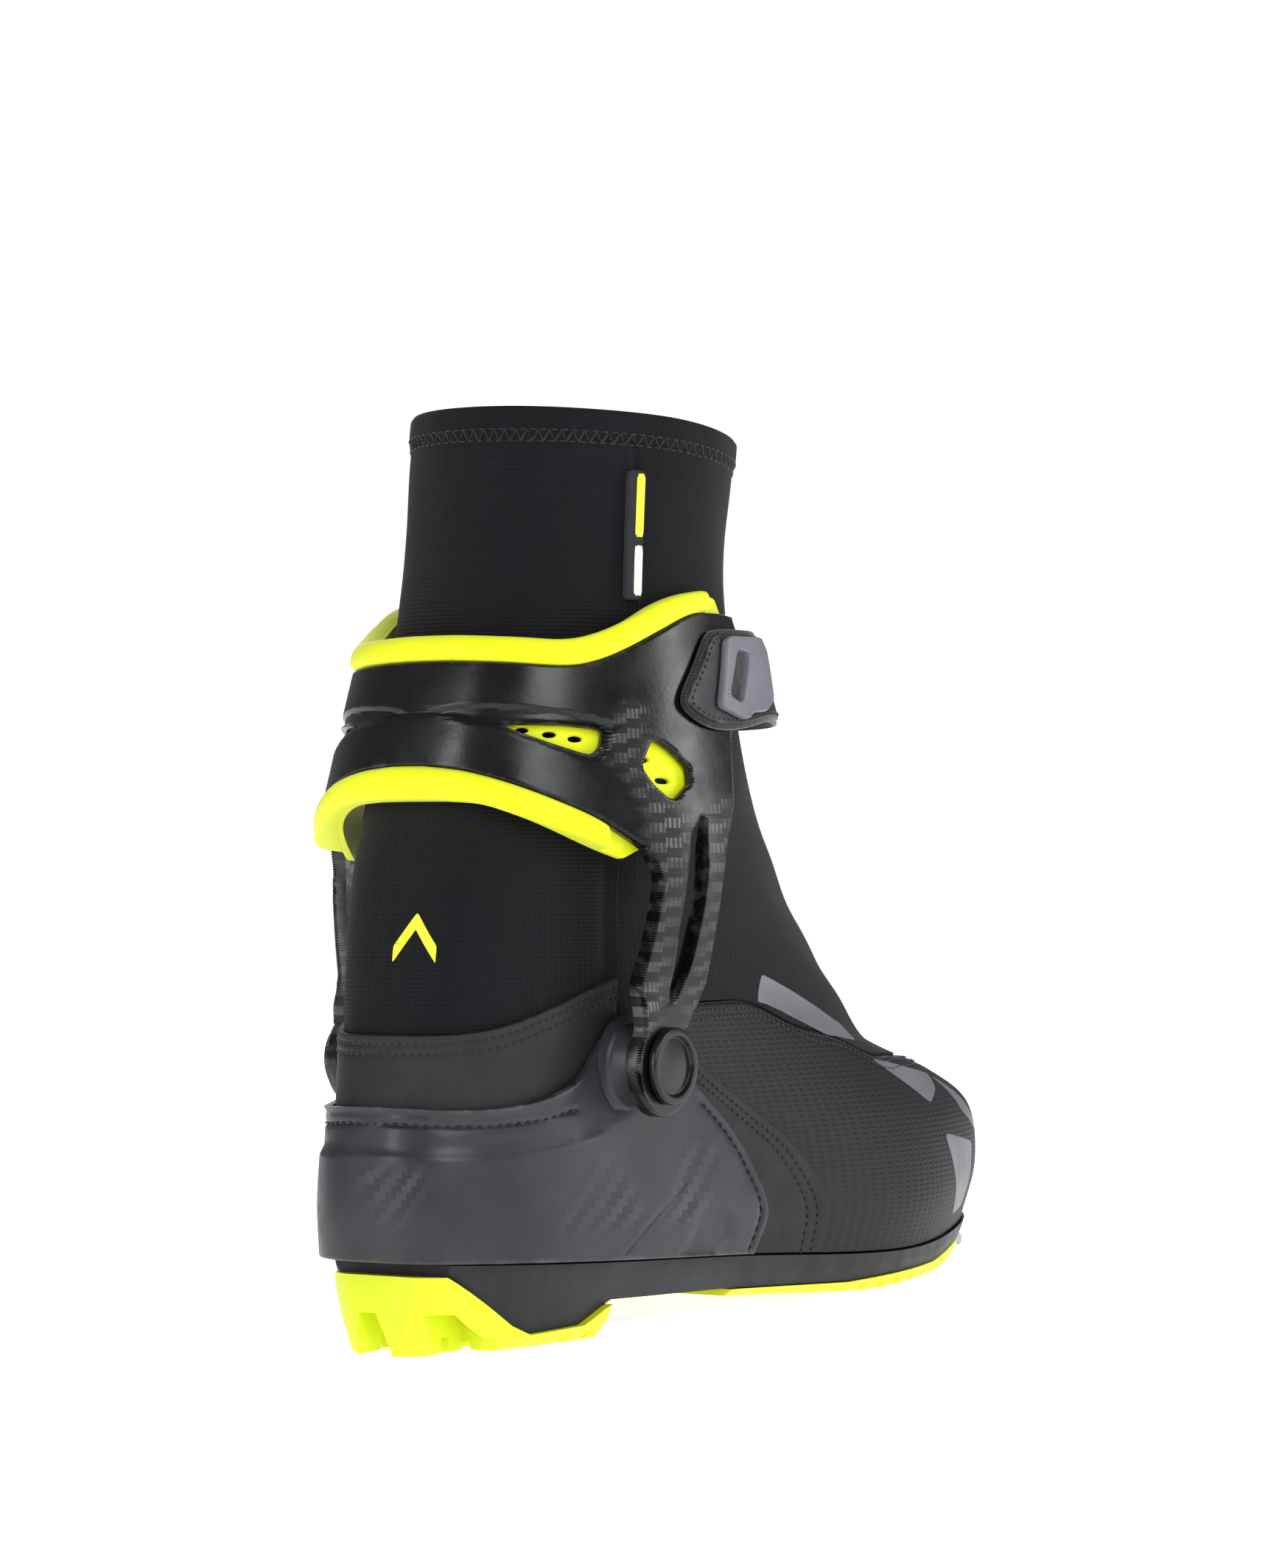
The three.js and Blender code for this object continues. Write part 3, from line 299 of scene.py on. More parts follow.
def even(points, step):
    """The same line with points an even step apart."""
    p = np.asarray(points, float)
    run = np.concatenate(
        [[0], np.cumsum(np.linalg.norm(np.diff(p, axis=0), axis=1))]
    )
    n = max(2, int(round(run[-1] / step)))
    at = np.linspace(0, run[-1], n + 1)
    return np.stack([np.interp(at, run, p[:, k]) for k in range(p.shape[1])], -1)


def distance(points, line):
    """Distance of each point from the nearest of a line's points."""
    out = np.empty(len(points))
    for i in range(0, len(points), 2000):
        gap = points[i : i + 2000, None] - line[None]
        out[i : i + 2000] = np.sqrt((gap**2).sum(-1).min(1))
    return out


def looped(loop, step):
    return even(np.vstack([loop, loop[:1]]), step)


def traced(place, line):
    """A flat line laid on its surface."""
    return place(*even(line, 0.5).T, np.zeros(1))


def near(points, line, width):
    """1 on a line, falling away to 0 beside it."""
    return np.exp(-((distance(points, line) / width) ** 2))


def quads(at, rows, columns):
    """Faces of a grid of point numbers, which closes on itself past its last row or column."""
    m, n = at.shape
    return [
        (at[j, i], at[j, (i + 1) % n], at[(j + 1) % m, (i + 1) % n], at[(j + 1) % m, i])
        for j in range(rows) for i in range(columns)
    ]


def inside(points, loop):
    x, y = points[:, 0], points[:, 1]
    result = np.zeros(len(points), bool)
    for (x0, y0), (x1, y1) in zip(loop, np.roll(loop, -1, 0)):
        if y0 == y1:
            continue
        crosses = (y0 > y) != (y1 > y)
        result ^= crosses & (x < (x1 - x0) * (y - y0) / (y1 - y0) + x0)
    return result


# ---------- meshes ----------


def piece(name, points, faces, material, body, slot, replaces=(), flat=None, sharp=38, **extra):
    """A mesh from millimetre points. Its "flat" attribute carries the pattern in millimetres."""
    me = bpy.data.meshes.new(name)
    me.from_pydata([tuple(p) for p in world(points)], [], [tuple(f) for f in faces])
    obj = bpy.data.objects.new(name, me)
    bpy.context.scene.collection.objects.link(obj)
    if flat is not None:
        data = np.zeros((len(points), 3), np.float32)
        data[:, : flat.shape[1]] = flat
        me.attributes.new("flat", "FLOAT_VECTOR", "POINT").data.foreach_set(
            "vector", data.ravel()
        )
    for key, value in extra.items():
        me.attributes.new(key, "FLOAT", "POINT").data.foreach_set(
            "value", np.asarray(value, np.float32)
        )
    bm = bmesh.new()
    bm.from_mesh(me)
    bmesh.ops.recalc_face_normals(bm, faces=bm.faces)
    bm.to_mesh(me)
    bm.free()
    me.shade_smooth()
    me.set_sharp_from_angle(angle=math.radians(sharp))
    me.materials.append(material)
    if isinstance(body, str):
        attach(obj, body)
    if replaces:
        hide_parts(*replaces)
    return obj


def steps_in(place, loop, by):
    """A closed loop moved by millimetres to its left, along the surface."""
    e = 0.02
    p, q = loop.T
    zero = np.zeros_like(p)
    pp = (place(p + e, q, zero) - place(p - e, q, zero)) / (2 * e)
    pq = (place(p, q + e, zero) - place(p, q - e, zero)) / (2 * e)
    at = place(p, q, zero)
    tangent = np.roll(at, -1, 0) - np.roll(at, 1, 0)
    tangent /= np.linalg.norm(tangent, axis=1, keepdims=True) + 1e-12
    normal = np.cross(pp, pq)
    normal /= np.linalg.norm(normal, axis=1, keepdims=True)
    left = np.cross(normal, tangent)
    a, b, c = (pp * pp).sum(1), (pp * pq).sum(1), (pq * pq).sum(1)
    u, v = (left * pp).sum(1), (left * pq).sum(1)
    det = a * c - b * b
    return loop + by * np.stack([(c * u - b * v) / det, (a * v - b * u) / det], -1)


def turned(loop, anticlockwise):
    x, y = loop.T
    area = (x * np.roll(y, -1) - np.roll(x, -1) * y).sum()
    return loop if (area > 0) == anticlockwise else loop[::-1]


def plate(
    name, place, outline, material, body, slot, outer, inner, holes=(), creases=(),
    relief=None, radius=0.6, grid=1.8, replaces=(), edge_step=0.7, marks=None,
):
    """A sheet cut to an outline on a surface, with rounded edges. creases are lines that the mesh follows.
    relief(points on the surface, flat) is taken off the outer face."""
    loops = [turned(looped(outline, edge_step)[:-1], True)]
    loops += [turned(looped(h, edge_step)[:-1], False) for h in holes]
    flat = [np.vstack(loops)]
    edges, start = [], 0
    for loop in loops:
        n = len(loop)
        edges += [(start + i, start + (i + 1) % n) for i in range(n)]
        start += n
    rim = place(*flat[0].T, np.zeros(len(flat[0])))
    known = [np.zeros(len(flat[0]))]
    for part in (0.25, 0.6, 1.0, 1.7):
        by = radius * part
        row = np.vstack([steps_in(place, loop, by) for loop in loops])
        gap = distance(place(*row.T, np.zeros(len(row))), rim)
        keep = gap > by * 0.9
        flat.append(row[keep])
        known.append(np.full(keep.sum(), by))
    low, high = loops[0].min(0), loops[0].max(0)
    xs, ys = (np.arange(low[k], high[k], grid) for k in (0, 1))
    gx, gy = np.meshgrid(xs, ys)
    gx = gx + (np.arange(len(ys)) % 2)[:, None] * grid / 2
    lattice = np.stack([gx.ravel(), gy.ravel()], -1)
    for crease in creases:
        line = even(crease, grid * 0.7)
        for by in (-1.1, -0.5, 0, 0.5, 1.1):
            open_line = steps_in(place, line, by)[1:-1]
            gap = distance(place(*open_line.T, np.zeros(len(open_line))), rim)
            open_line = open_line[(gap > radius * 2.2) & inside(open_line, loops[0])]
            flat.append(open_line)
            known.append(np.full(len(open_line), -1.0))
    taken = np.vstack(flat)
    lattice = lattice[inside(lattice, loops[0])]
    for hole in loops[1:]:
        lattice = lattice[~inside(lattice, hole)]
    gap = distance(place(*lattice.T, np.zeros(len(lattice))), rim)
    lattice = lattice[gap > radius * 2.2]
    near = distance(lattice, taken)
    lattice = lattice[near > grid * 0.45]
    flat = np.vstack([taken, lattice])
    known = np.concatenate(known + [np.full(len(lattice), -1.0)])
    result = delaunay_2d_cdt(
        [Vector(p) for p in flat], edges, [], 0, 1e-5
    )
    spots = np.array([tuple(v) for v in result[0]])
    tris = np.array([f for f in result[2] if len(f) == 3], int)
    source = np.array([o[0] if o else -1 for o in result[3]])
    gap = np.where(source >= 0, known[source], -1.0)
    middle = spots[tris].mean(1)
    keep = inside(middle, loops[0])
    for hole in loops[1:]:
        keep &= ~inside(middle, hole)
    tris = tris[keep]
    used = np.unique(tris)
    index = np.full(len(spots), -1)
    index[used] = np.arange(len(used))
    spots, gap, tris = spots[used], gap[used], index[tris]
    base = place(*spots.T, np.zeros(len(spots)))
    unknown = gap < 0
    gap[unknown] = distance(base[unknown], rim)
    short = np.clip(gap, 0, radius)
    depth = outer - radius + np.sqrt(np.clip(radius**2 - (radius - short) ** 2, 0, None))
    if relief is not None:
        depth = depth - relief(base, spots) * smooth(gap / (radius * 1.5))
    top = place(*spots.T, depth)
    under = place(*spots.T, np.full(len(spots), float(inner)))
    n = len(spots)
    faces = [tuple(t) for t in tris] + [tuple(t[::-1] + n) for t in tris]
    sides = {}
    for t in tris:
        for i in range(3):
            a, b = t[i], t[(i + 1) % 3]
            if (b, a) in sides:
                del sides[(b, a)]
            else:
                sides[(a, b)] = True
    faces += [(b, a, a + n, b + n) for a, b in sides]
    extra = {"edge": np.tile(np.clip(1 - gap / 1.6, 0, 1), 2)}
    if marks is not None:
        extra["mark"] = np.tile(marks(base, spots), 2)
    return piece(
        name, np.vstack([top, under]), faces, material, body, slot, replaces,
        flat=np.tile(spots, (2, 1)), **extra,
    )


def sweep(
    name, columns, profile, material, body, slot, closed=True, replaces=(), surface=last, scale=(65,
        16), marks=None
):
    """A wall round the leg: profile(columns) gives arrays (v, d), one row of the section for each."""
    v, d = profile(columns)
    rows = len(v)
    u = np.broadcast_to(columns, v.shape)
    points = skin(surface, u, v, d)
    n = len(columns)
    at = np.arange(rows * n).reshape(rows, n)
    faces = quads(at, rows, n if closed else n - 1)
    if not closed:
        faces += [tuple(at[:, 0]), tuple(at[::-1, n - 1])]
    flat = np.stack([(u * scale[0]).ravel(), points[..., 2].ravel()], -1)
    extra = {} if marks is None else {"mark": marks(u, v).ravel()}
    return piece(name, points.reshape(-1, 3), faces, material, body, slot, replaces, flat=flat, **extra)


def tube(path, radius, sides=6):
    """Points and faces of a round tube along millimetre points, with closed ends."""
    p = np.asarray(path, float)
    t = np.gradient(p, axis=0)
    t /= np.linalg.norm(t, axis=1, keepdims=True)
    up = np.array([0.31, 0.42, 0.85])
    a = np.cross(t, up)
    a /= np.linalg.norm(a, axis=1, keepdims=True)
    b = np.cross(t, a)
    r = np.broadcast_to(np.asarray(radius, float), (len(p),))[:, None]
    rings = []
    for k in range(sides):
        q = 2 * math.pi * k / sides
        rings.append(p + r * (a * math.cos(q) + b * math.sin(q)))
    points = np.stack(rings, 1).reshape(-1, 3)
    faces = quads(np.arange(len(p) * sides).reshape(len(p), sides), len(p) - 1, sides)
    faces.append(tuple(range(sides))[::-1])
    faces.append(tuple(range((len(p) - 1) * sides, len(p) * sides)))
    return points, faces


def gathered(parts):
    points, faces, start = [], [], 0
    for p, f in parts:
        points.append(p)
        faces += [tuple(i + start for i in face) for face in f]
        start += len(p)
    return np.vstack(points), faces


def stitches(name, lines, body, slot, pitch=2.3, long=1.7, radius=0.26, sink=0.05, material=None):
    """Thread along lines of (point, outward normal) rows: short raised stitches with gaps."""
    parts = []
    for points, normals in lines:
        rail = even(np.hstack([points, normals]), pitch / 6)
        run = len(rail) - 1
        each = 6
        half = max(1, int(round(long / pitch * each / 2)))
        for centre in range(half + 1, run - half, each):
            row = rail[centre - half : centre + half + 1]
            n = row[:, 3:] / np.linalg.norm(row[:, 3:], axis=1, keepdims=True)
            lift = np.sin(np.linspace(0, math.pi, len(row)))[:, None] * radius * 1.2
            parts.append(tube(row[:, :3] + n * (lift - sink),
                radius * (0.55 + 0.45 * lift[:, 0] / lift.max()), 5))
    points, faces = gathered(parts)
    return piece(name, points, faces, material or thread, body, slot)


def rail(place, line, depth):
    """Points and normals of a flat line at a depth, for stitches."""
    p, q = np.asarray(line, float).T
    low, high = (place(p, q, np.full(len(p), depth + k)) for k in (0, 1))
    return low, high - low


# ---------- materials ----------


def linear(code):
    value = [int(code[i : i + 2], 16) / 255 for i in (1, 3, 5)]
    return [v / 12.92 if v <= 0.04045 else ((v + 0.055) / 1.055) ** 2.4 for v in value] + [1]


class Finish:
    """Builds a node material step by step."""

    def __init__(self, name, roughness=0.5, metallic=0.0, specular=0.5, sheen=0.0, coat=0.0,
            coat_roughness=0.1):
        self.material = bpy.data.materials.new(name)
        self.material.use_nodes = True
        self.tree = self.material.node_tree
        self.shader = self.tree.nodes["Principled BSDF"]
        for key, value in (
            ("Roughness", roughness), ("Metallic", metallic), ("Specular IOR Level", specular),
            ("Sheen Weight", sheen), ("Coat Weight", coat), ("Coat Roughness", coat_roughness),
        ):
            self.shader.inputs[key].default_value = value
        self.height = None

    def node(self, kind, **inputs):
        n = self.tree.nodes.new("ShaderNode" + kind)
        for key, value in inputs.items():
            if hasattr(n, key) and not key[0].isupper():
                setattr(n, key, value)
        return n

    def wire(self, value, socket):
        """Links a socket, or sets a constant."""
        if isinstance(value, bpy.types.NodeSocket):
            self.tree.links.new(value, socket)
        else:
            socket.default_value = value

    def math(self, operation, a, b=0.0):
        n = self.node("Math", operation=operation)
        self.wire(a, n.inputs[0])
        self.wire(b, n.inputs[1])
        return n.outputs[0]

    def attribute(self, name, output="Fac"):
        n = self.node("Attribute", attribute_name=name)
        return n.outputs[output]

    def flat(self):
        n = self.node("SeparateXYZ")
        self.tree.links.new(self.attribute("flat", "Vector"), n.inputs[0])
        return n.outputs[0], n.outputs[1]

    def place(self):
        return self.node("TexCoord").outputs["Object"]

    def noise(self, scale, detail=3.0, rough=0.55, vector=None):
        n = self.node("TexNoise")
        self.wire(vector or self.place(), n.inputs["Vector"])
        n.inputs["Scale"].default_value = scale
        n.inputs["Detail"].default_value = detail
        n.inputs["Roughness"].default_value = rough
        return n.outputs["Fac"]

    def range(self, value, low, high, to_low=0.0, to_high=1.0):
        n = self.node("MapRange")
        self.wire(value, n.inputs["Value"])
        for key, v in (("From Min", low), ("From Max", high), ("To Min", to_low), ("To Max", to_high)):
            n.inputs[key].default_value = v
        return n.outputs["Result"]

    def blend(self, factor, a, b):
        n = self.node("Mix", data_type="RGBA")
        self.wire(factor, n.inputs["Factor"])
        self.wire(a, n.inputs[6])
        self.wire(b, n.inputs[7])
        return n.outputs[2]

    def ridges(self, value, pitch, sharpness=1.0):
        """0 to 1 waves of that pitch in millimetres."""
        wave = self.math("SINE", self.math("MULTIPLY", value, 2 * math.pi / pitch))
        return self.range(wave, -sharpness, sharpness)

    def colour(self, value):
        self.wire(value, self.shader.inputs["Base Color"])
        return self

    def rough(self, value):
        self.wire(value, self.shader.inputs["Roughness"])
        return self

    def bump(self, height, distance, strength=1.0):
        n = self.node("Bump")
        n.inputs["Distance"].default_value = distance
        n.inputs["Strength"].default_value = strength
        self.wire(height, n.inputs["Height"])
        if self.height is not None:
            self.wire(self.height, n.inputs["Normal"])
        self.height = n.outputs["Normal"]
        self.wire(self.height, self.shader.inputs["Normal"])
        return self


def cloth(name, dark, light, rib=None, weave=0.55, roughness=0.85, sheen=0.06, speck=0.3):
    f = Finish(name, roughness=roughness, specular=0.2, sheen=sheen)
    u, v = f.flat()
    tone = f.noise(60, 4)
    fine = f.math("MULTIPLY", f.ridges(u, weave), f.ridges(v, weave * 0.9))
    shade = f.math("ADD", f.math("MULTIPLY", tone, 0.6), f.math("MULTIPLY", fine, speck))
    if rib:
        ribs = f.math("MULTIPLY", f.ridges(v, rib), f.attribute("mark"))
        shade = f.math("ADD", shade, f.math("MULTIPLY", ribs, 0.35))
        f.bump(ribs, 0.00022)
    f.colour(f.blend(shade, linear(dark), linear(light)))
    f.bump(fine, 0.00008)
    f.bump(f.noise(2200, 2), 0.00006)
    return f.material


def plastic(name, dark, light, roughness, grain=900, depth=0.00003, edge="#8a8c92", wear=0.35, coat=0.0):
    f = Finish(name, roughness=roughness, specular=0.4, coat=coat, coat_roughness=0.25)
    tone = f.noise(35, 5)
    base = f.blend(f.range(tone, 0.35, 0.65), linear(dark), linear(light))
    worn = f.math("MULTIPLY", f.attribute("edge"), f.range(f.noise(180, 4), 0.5, 0.75))
    f.colour(f.blend(f.math("MULTIPLY", worn, wear), base, linear(edge)))
    f.rough(f.range(f.noise(90, 4), 0.3, 0.7, roughness - 0.06, roughness + 0.08))
    f.bump(f.noise(grain, 3), depth)
    return f


def twill_with_painted_sheen(f, pitch, fade, base, dark, light):
    """Lays a 2 by 2 twill over a finish, where fade is above 0. Its warp tows are painted lighter, with
    lighter fibre stripes, as a painted highlight for the fibres' sheen.
    """
    u, v = f.flat()
    i, j = (f.math("FLOOR", f.math("DIVIDE", k, pitch)) for k in (u, v))
    turn = f.math("FLOORED_MODULO", f.math("SUBTRACT", j, i), 4.0)
    warp = f.math("LESS_THAN", turn, 2.0)
    fibre = f.math("ADD", f.math("MULTIPLY", warp, f.ridges(u, 0.42)), f.math(
        "MULTIPLY", f.math("SUBTRACT", 1.0, warp), f.ridges(v, 0.42)))
    # Painted highlight: the warp tows get the lighter colour and lighter fibre stripes, standing in for the
    # fibres' sheen. The weft stays dark; the weave layout and bump are real.
    tone = f.blend(f.math("MULTIPLY", warp, f.range(fibre, 0, 1, 0.55, 1)), linear(dark), linear(light))
    f.colour(f.blend(fade, base, tone))
    plain = f.shader.inputs["Roughness"].links[0].from_socket
    f.rough(f.math("ADD", plain,
        f.math("MULTIPLY", fade, f.math("MULTIPLY", f.math("SUBTRACT", 1.0, warp), 0.16))))
    f.bump(f.math("MULTIPLY", fade, fibre), 0.00005)


def build_materials():
    m = {}
    m["softshell"] = cloth("softshell_cloth", "#06070b", "#13141a", rib=1.15)
    m["jersey"] = cloth("hem_cloth", "#06070b", "#13141a", weave=0.7)
    f = Finish("vamp_grid", roughness=0.55, specular=0.3)
    u, v = f.flat()
    grid = f.math("MAXIMUM", f.ridges(u, 1.5, 0.7), f.ridges(v, 1.5, 0.7))
    f.colour(f.blend(f.math("ADD", f.math("MULTIPLY", grid, 0.5), f.math("MULTIPLY", f.noise(70, 4), 0.4)),
                     linear("#121215"), linear("#202024")))
    f.bump(grid, 0.00012)
    f.bump(f.noise(1500, 2), 0.00004)
    m["vamp"] = f.material
    f = plastic("synthetic_leather", "#151516", "#201f21", 0.6, grain=1400, depth=0.00012,
        edge="#3a393b", wear=0.5)
    f.bump(f.noise(330, 4), 0.00008)
    m["leather"] = f.material
    f = plastic("counter_plastic", "#23252a", "#2f3137", 0.38, grain=1600, depth=0.00002)
    base = f.shader.inputs["Base Color"].links[0].from_socket
    patch = f.range(f.noise(26, 1, 0.4), 0.52, 0.66)
    # The twill's lighter colour is the warp's painted highlight.
    twill_with_painted_sheen(f, 1.7, f.math("MULTIPLY", f.attribute("mark"), f.math("MULTIPLY", patch, 0.7)),
           base, "#24262b", "#45474d")
    m["counter"] = f.material
    f = plastic("cuff_plastic", "#060708", "#0d0e11", 0.27, grain=700, depth=0.00003, wear=0.25)
    base = f.shader.inputs["Base Color"].links[0].from_socket
    # The twill's lighter colour is the warp's painted highlight.
    twill_with_painted_sheen(f, 1.35, f.attribute("mark"), base, "#08080a", "#4b4c51")
    m["cuff"] = f.material
    m["cap"] = plastic("cap_plastic", "#0a0b0e", "#131418", 0.25, grain=600).material
    f = Finish("yellow_foam", roughness=0.55, specular=0.3, sheen=0.15)
    f.colour(f.blend(f.range(f.noise(45, 4), 0.3, 0.7), linear("#e9f500"), linear("#f2fb12")))
    f.bump(f.noise(1700, 3), 0.00005)
    m["foam"] = f.material
    f = Finish("yellow_rubber", roughness=0.5, specular=0.4)
    f.colour(f.blend(f.range(f.noise(30, 5), 0.3, 0.7), linear("#d9e614"), linear("#e6ef2c")))
    f.bump(f.noise(1100, 3), 0.00007)
    f.rough(f.range(f.noise(120, 3), 0.3, 0.7, 0.42, 0.6))
    m["rubber"] = f.material
    m["chassis"] = plastic("chassis_plastic", "#15161a", "#212227", 0.5, grain=1300, depth=0.00008).material
    m["strap"] = cloth("strap_felt", "#0b0c0e", "#1c1d21", weave=1.1, roughness=0.95, sheen=0.5, speck=0.5)
    m["strap_face"] = plastic("strap_coating", "#16171b", "#222328", 0.45, grain=900, depth=0.00006).material
    m["pull"] = plastic("grey_tab", "#6c6b74", "#7b7a84", 0.42, grain=1200, depth=0.00005,
        edge="#8c8c94").material
    m["print"] = plastic("grey_print", "#6b6b73", "#7c7c84", 0.45, grain=1500, depth=0.00004).material
    m["yellow_print"] = plastic("yellow_print", "#f2fb20", "#fdff45", 0.5, grain=1500, depth=0.00004).material
    m["label"] = cloth("label_back", "#232427", "#38393c", weave=0.6, roughness=0.9)
    m["label_white"] = cloth("label_white", "#d8d8d4", "#f2f2ee", weave=0.6, roughness=0.9)
    m["lining"] = cloth("lining", "#0b0c0f", "#1b1c21", weave=0.9, roughness=0.95, sheen=0.4)
    m["webbing"] = cloth("webbing", "#0b0c0f", "#1d1e22", weave=1.3, roughness=0.8)
    f = Finish("brushed_steel", roughness=0.3, metallic=1.0)
    f.colour(f.blend(f.noise(220, 4), linear("#8f9296"), linear("#c6c8cb")))
    f.bump(f.noise(900, 2), 0.00002)
    m["steel"] = f.material
    f = Finish("board_fibre", roughness=0.9)
    f.colour(f.blend(f.noise(400, 5), linear("#756c50"), linear("#9c9275")))
    f.bump(f.noise(800, 3), 0.0001)
    m["board"] = f.material
    return m


M = build_materials()
thread = cloth("thread", "#040405", "#17181b", weave=0.3, roughness=0.6, sheen=0.3)

# ---------- the softshell: lower quarter, stretch zone and gaiter in one ----------
VAMP_TOP = [(45, 87), (81.8, 91.8), (109.7, 89.4), (123, 84.8), (146.6, 80.3), (161, 75.6), (181, 73.8)]
vamp_knots = np.vstack([on_last(VAMP_TOP), [[0.92, THROAT - 0.04], [1, THROAT]]])


def vamp_line(a):
    return hermite(vamp_knots[:, 0], vamp_knots[:, 1], a)


def folded(a):
    return 1 - np.abs(1 - np.mod(a, 2))



def seam_share(t):
    """Where the seam between the rear panel and the side panels runs, round the leg."""
    return hermite([4.5, 6.7, 9.9, 11], [0.314, 0.325, 0.35, 0.35], t)


def wrinkle(a, t):
    """How far the fabric lies inside its pattern: soft folds at the instep and the gaiter."""
    f = folded(a)
    instep = smooth((f - 0.5) / 0.2) * smooth((t - 4.3) / 1.2) * smooth((8.6 - t) / 1.5)
    folds = np.sin(t * 5.4 + 2.4 * np.sin(a * 5)) * np.sin(a * 9 + 1.1 * t)
    drape = smooth((t - 9.2) / 0.8) * smooth((10.7 - t) / 0.5)
    waves = np.sin(a * 11 + 1.3) * np.sin(a * 23 + t * 1.7)
    ditch = np.exp(-(((f - seam_share(t)) * LEG_ROUND / 0.9) ** 2)) * 0.6
    return 0.35 * instep * (1 + folds) + 0.3 * drape * (1 + waves) + ditch


def softshell():
    columns = np.linspace(-1, 1, 321)[:-1]
    ramp = (VAMP_REAR - 0.035, VAMP_REAR - 0.006)

    def profile(a):
        f = folded(a)
        foot = np.where(
            f < ramp[1],
            mix(0.02, vamp_line(ramp[1]) + TGAP, np.clip((f - ramp[0]) / (ramp[1] - ramp[0]), 0, 1)),
            vamp_line(f) + TGAP,
        )
        rise = np.linspace(0, 1, 210)[:, None]
        v_out = mix(foot[None], TOP - 0.04, rise)
        d_out = -wrinkle(a[None], v_out)
        round_edge = np.linspace(0, math.pi, 9)[1:-1, None]
        v_top = TOP - 0.04 + 0.03 * np.sin(round_edge) + 0 * a[None]
        d_top = -SHELL / 2 + SHELL / 2 * np.cos(round_edge) + 0 * a[None]
        down = np.linspace(1, 0, 60)[:, None]
        v_in = mix(foot[None], TOP - 0.04, down)
        d_in = -SHELL + 0 * v_in
        return np.vstack([v_out, v_top, v_in]), np.vstack([d_out, d_top, d_in])

    obj = sweep(
        "softshell", columns, profile, M["softshell"], None, "softshell",
        replaces=("quarter_sleeve", "flex_sleeve", "gaiter"),
        marks=lambda a, t: smooth((seam_share(t) - folded(a)) / 0.008 + 0.5),
    )
    return obj


def bends(obj):
    """Bakes the transform of a piece that spans the foot and the cuff into its mesh."""
    low, high = world([[20, 0, BEND[0]], [20, 0, BEND[1]]])
    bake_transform(obj)


def on_last_line(a, t, depth):
    """Points and outward normals along a line on the last, for stitches."""
    low = skin(last, a, t, np.full_like(a, depth))
    return low, skin(last, a, t, np.full_like(a, depth + 1.0)) - low


def seam_rows():
    rows = []
    t = np.linspace(4.6, TOP - 0.5, 260)
    for side in (1, -1):
        a = seam_share(t) + SEAM_STITCH / LEG_ROUND
        rows.append(on_last_line(side * a, t, 0.02))
    bends(stitches("seam_stitches", rows, None, "softshell", pitch=2.3))


bends(softshell())
seam_rows()

# ---------- gaiter hem ----------


def gaiter_hem():
    columns = np.linspace(-1, 1, 321)[:-1]
    turn = np.linspace(0, 1, 17)[:, None]

    def profile(a):
        drop = HEM
        v_out = TOP - drop + turn * (drop + 0.01) + 0 * a[None]
        bulge = smooth(turn / 0.4) * smooth((1 - turn) / 0.15)
        d_out = 0.08 + 0.75 * bulge + 0.1 * np.sin(a[None] * 60) * bulge
        v_in = v_out[::-1]
        d_in = 0.08 + 0 * v_in
        return np.vstack([v_out, v_in]), np.vstack([d_out, d_in])

    hem = sweep("gaiter_hem_fold", columns, profile, M["jersey"], "cuff", "softshell",
        replaces=("gaiter_hem",))
    zig = []
    a = np.linspace(-1, 1, 3001)
    wave = np.abs(np.mod(a * ZIG_COUNT, 1) * 2 - 1)
    t = TOP - 0.225 + ZIG_RISE * wave
    depth = 0.1 + 0.75 * smooth((t - TOP + HEM) / 0.08)
    parts = [tube(even(skin(last, a, t, depth), 0.7), 0.28, 5)]
    for drop, depth in ((0.225, 0.02), (0.15, 0.6)):
        zig.append(on_last_line(a, np.full_like(a, TOP - drop), depth))
    points, faces = gathered(parts)
    piece("hem_zigzag", points, faces, thread, "cuff", "softshell")
    stitches("hem_locks", zig, "cuff", "softshell", pitch=2.9, long=1.6, radius=0.22)
    return hem


gaiter_hem()

# ---------- vamp ----------


def vamp():
    columns = np.linspace(VAMP_REAR, 2 - VAMP_REAR, 300)

    def profile(a):
        top = vamp_line(folded(a)) - TGAP
        up = np.concatenate([np.linspace(0, 0.97, 80), [0.98, 0.988, 0.994, 0.998, 1]])[:, None]
        v_out = mix(0.02, top[None], up)
        d_out = -0.7 * smooth((up - 0.975) / 0.025) + 0 * v_out
        down = np.linspace(1, 0, 24)[:, None]
        v_in = mix(0.02, top[None], down)
        return np.vstack([v_out, v_in]), np.vstack([d_out, np.full_like(v_in, -SHELL)])

    sweep("vamp_fabric", columns, profile, M["vamp"], "foot", "coated_fabric", closed=False,
          replaces=("vamp",), scale=(150, 16))
    lines = []
    for below in (0.16, 0.30):
        for side in (1, -1):
            a = np.linspace(VAMP_REAR + 0.02, 1, 400)
            t = vamp_line(a) - below
            low = skin(last, side * a, t, 0.02 + 0 * a)
            lines.append((low, skin(last, side * a, t, 1 + 0 * a) - low))
    stitches("vamp_stitches", lines, "foot", "coated_fabric", pitch=2.4)


vamp()

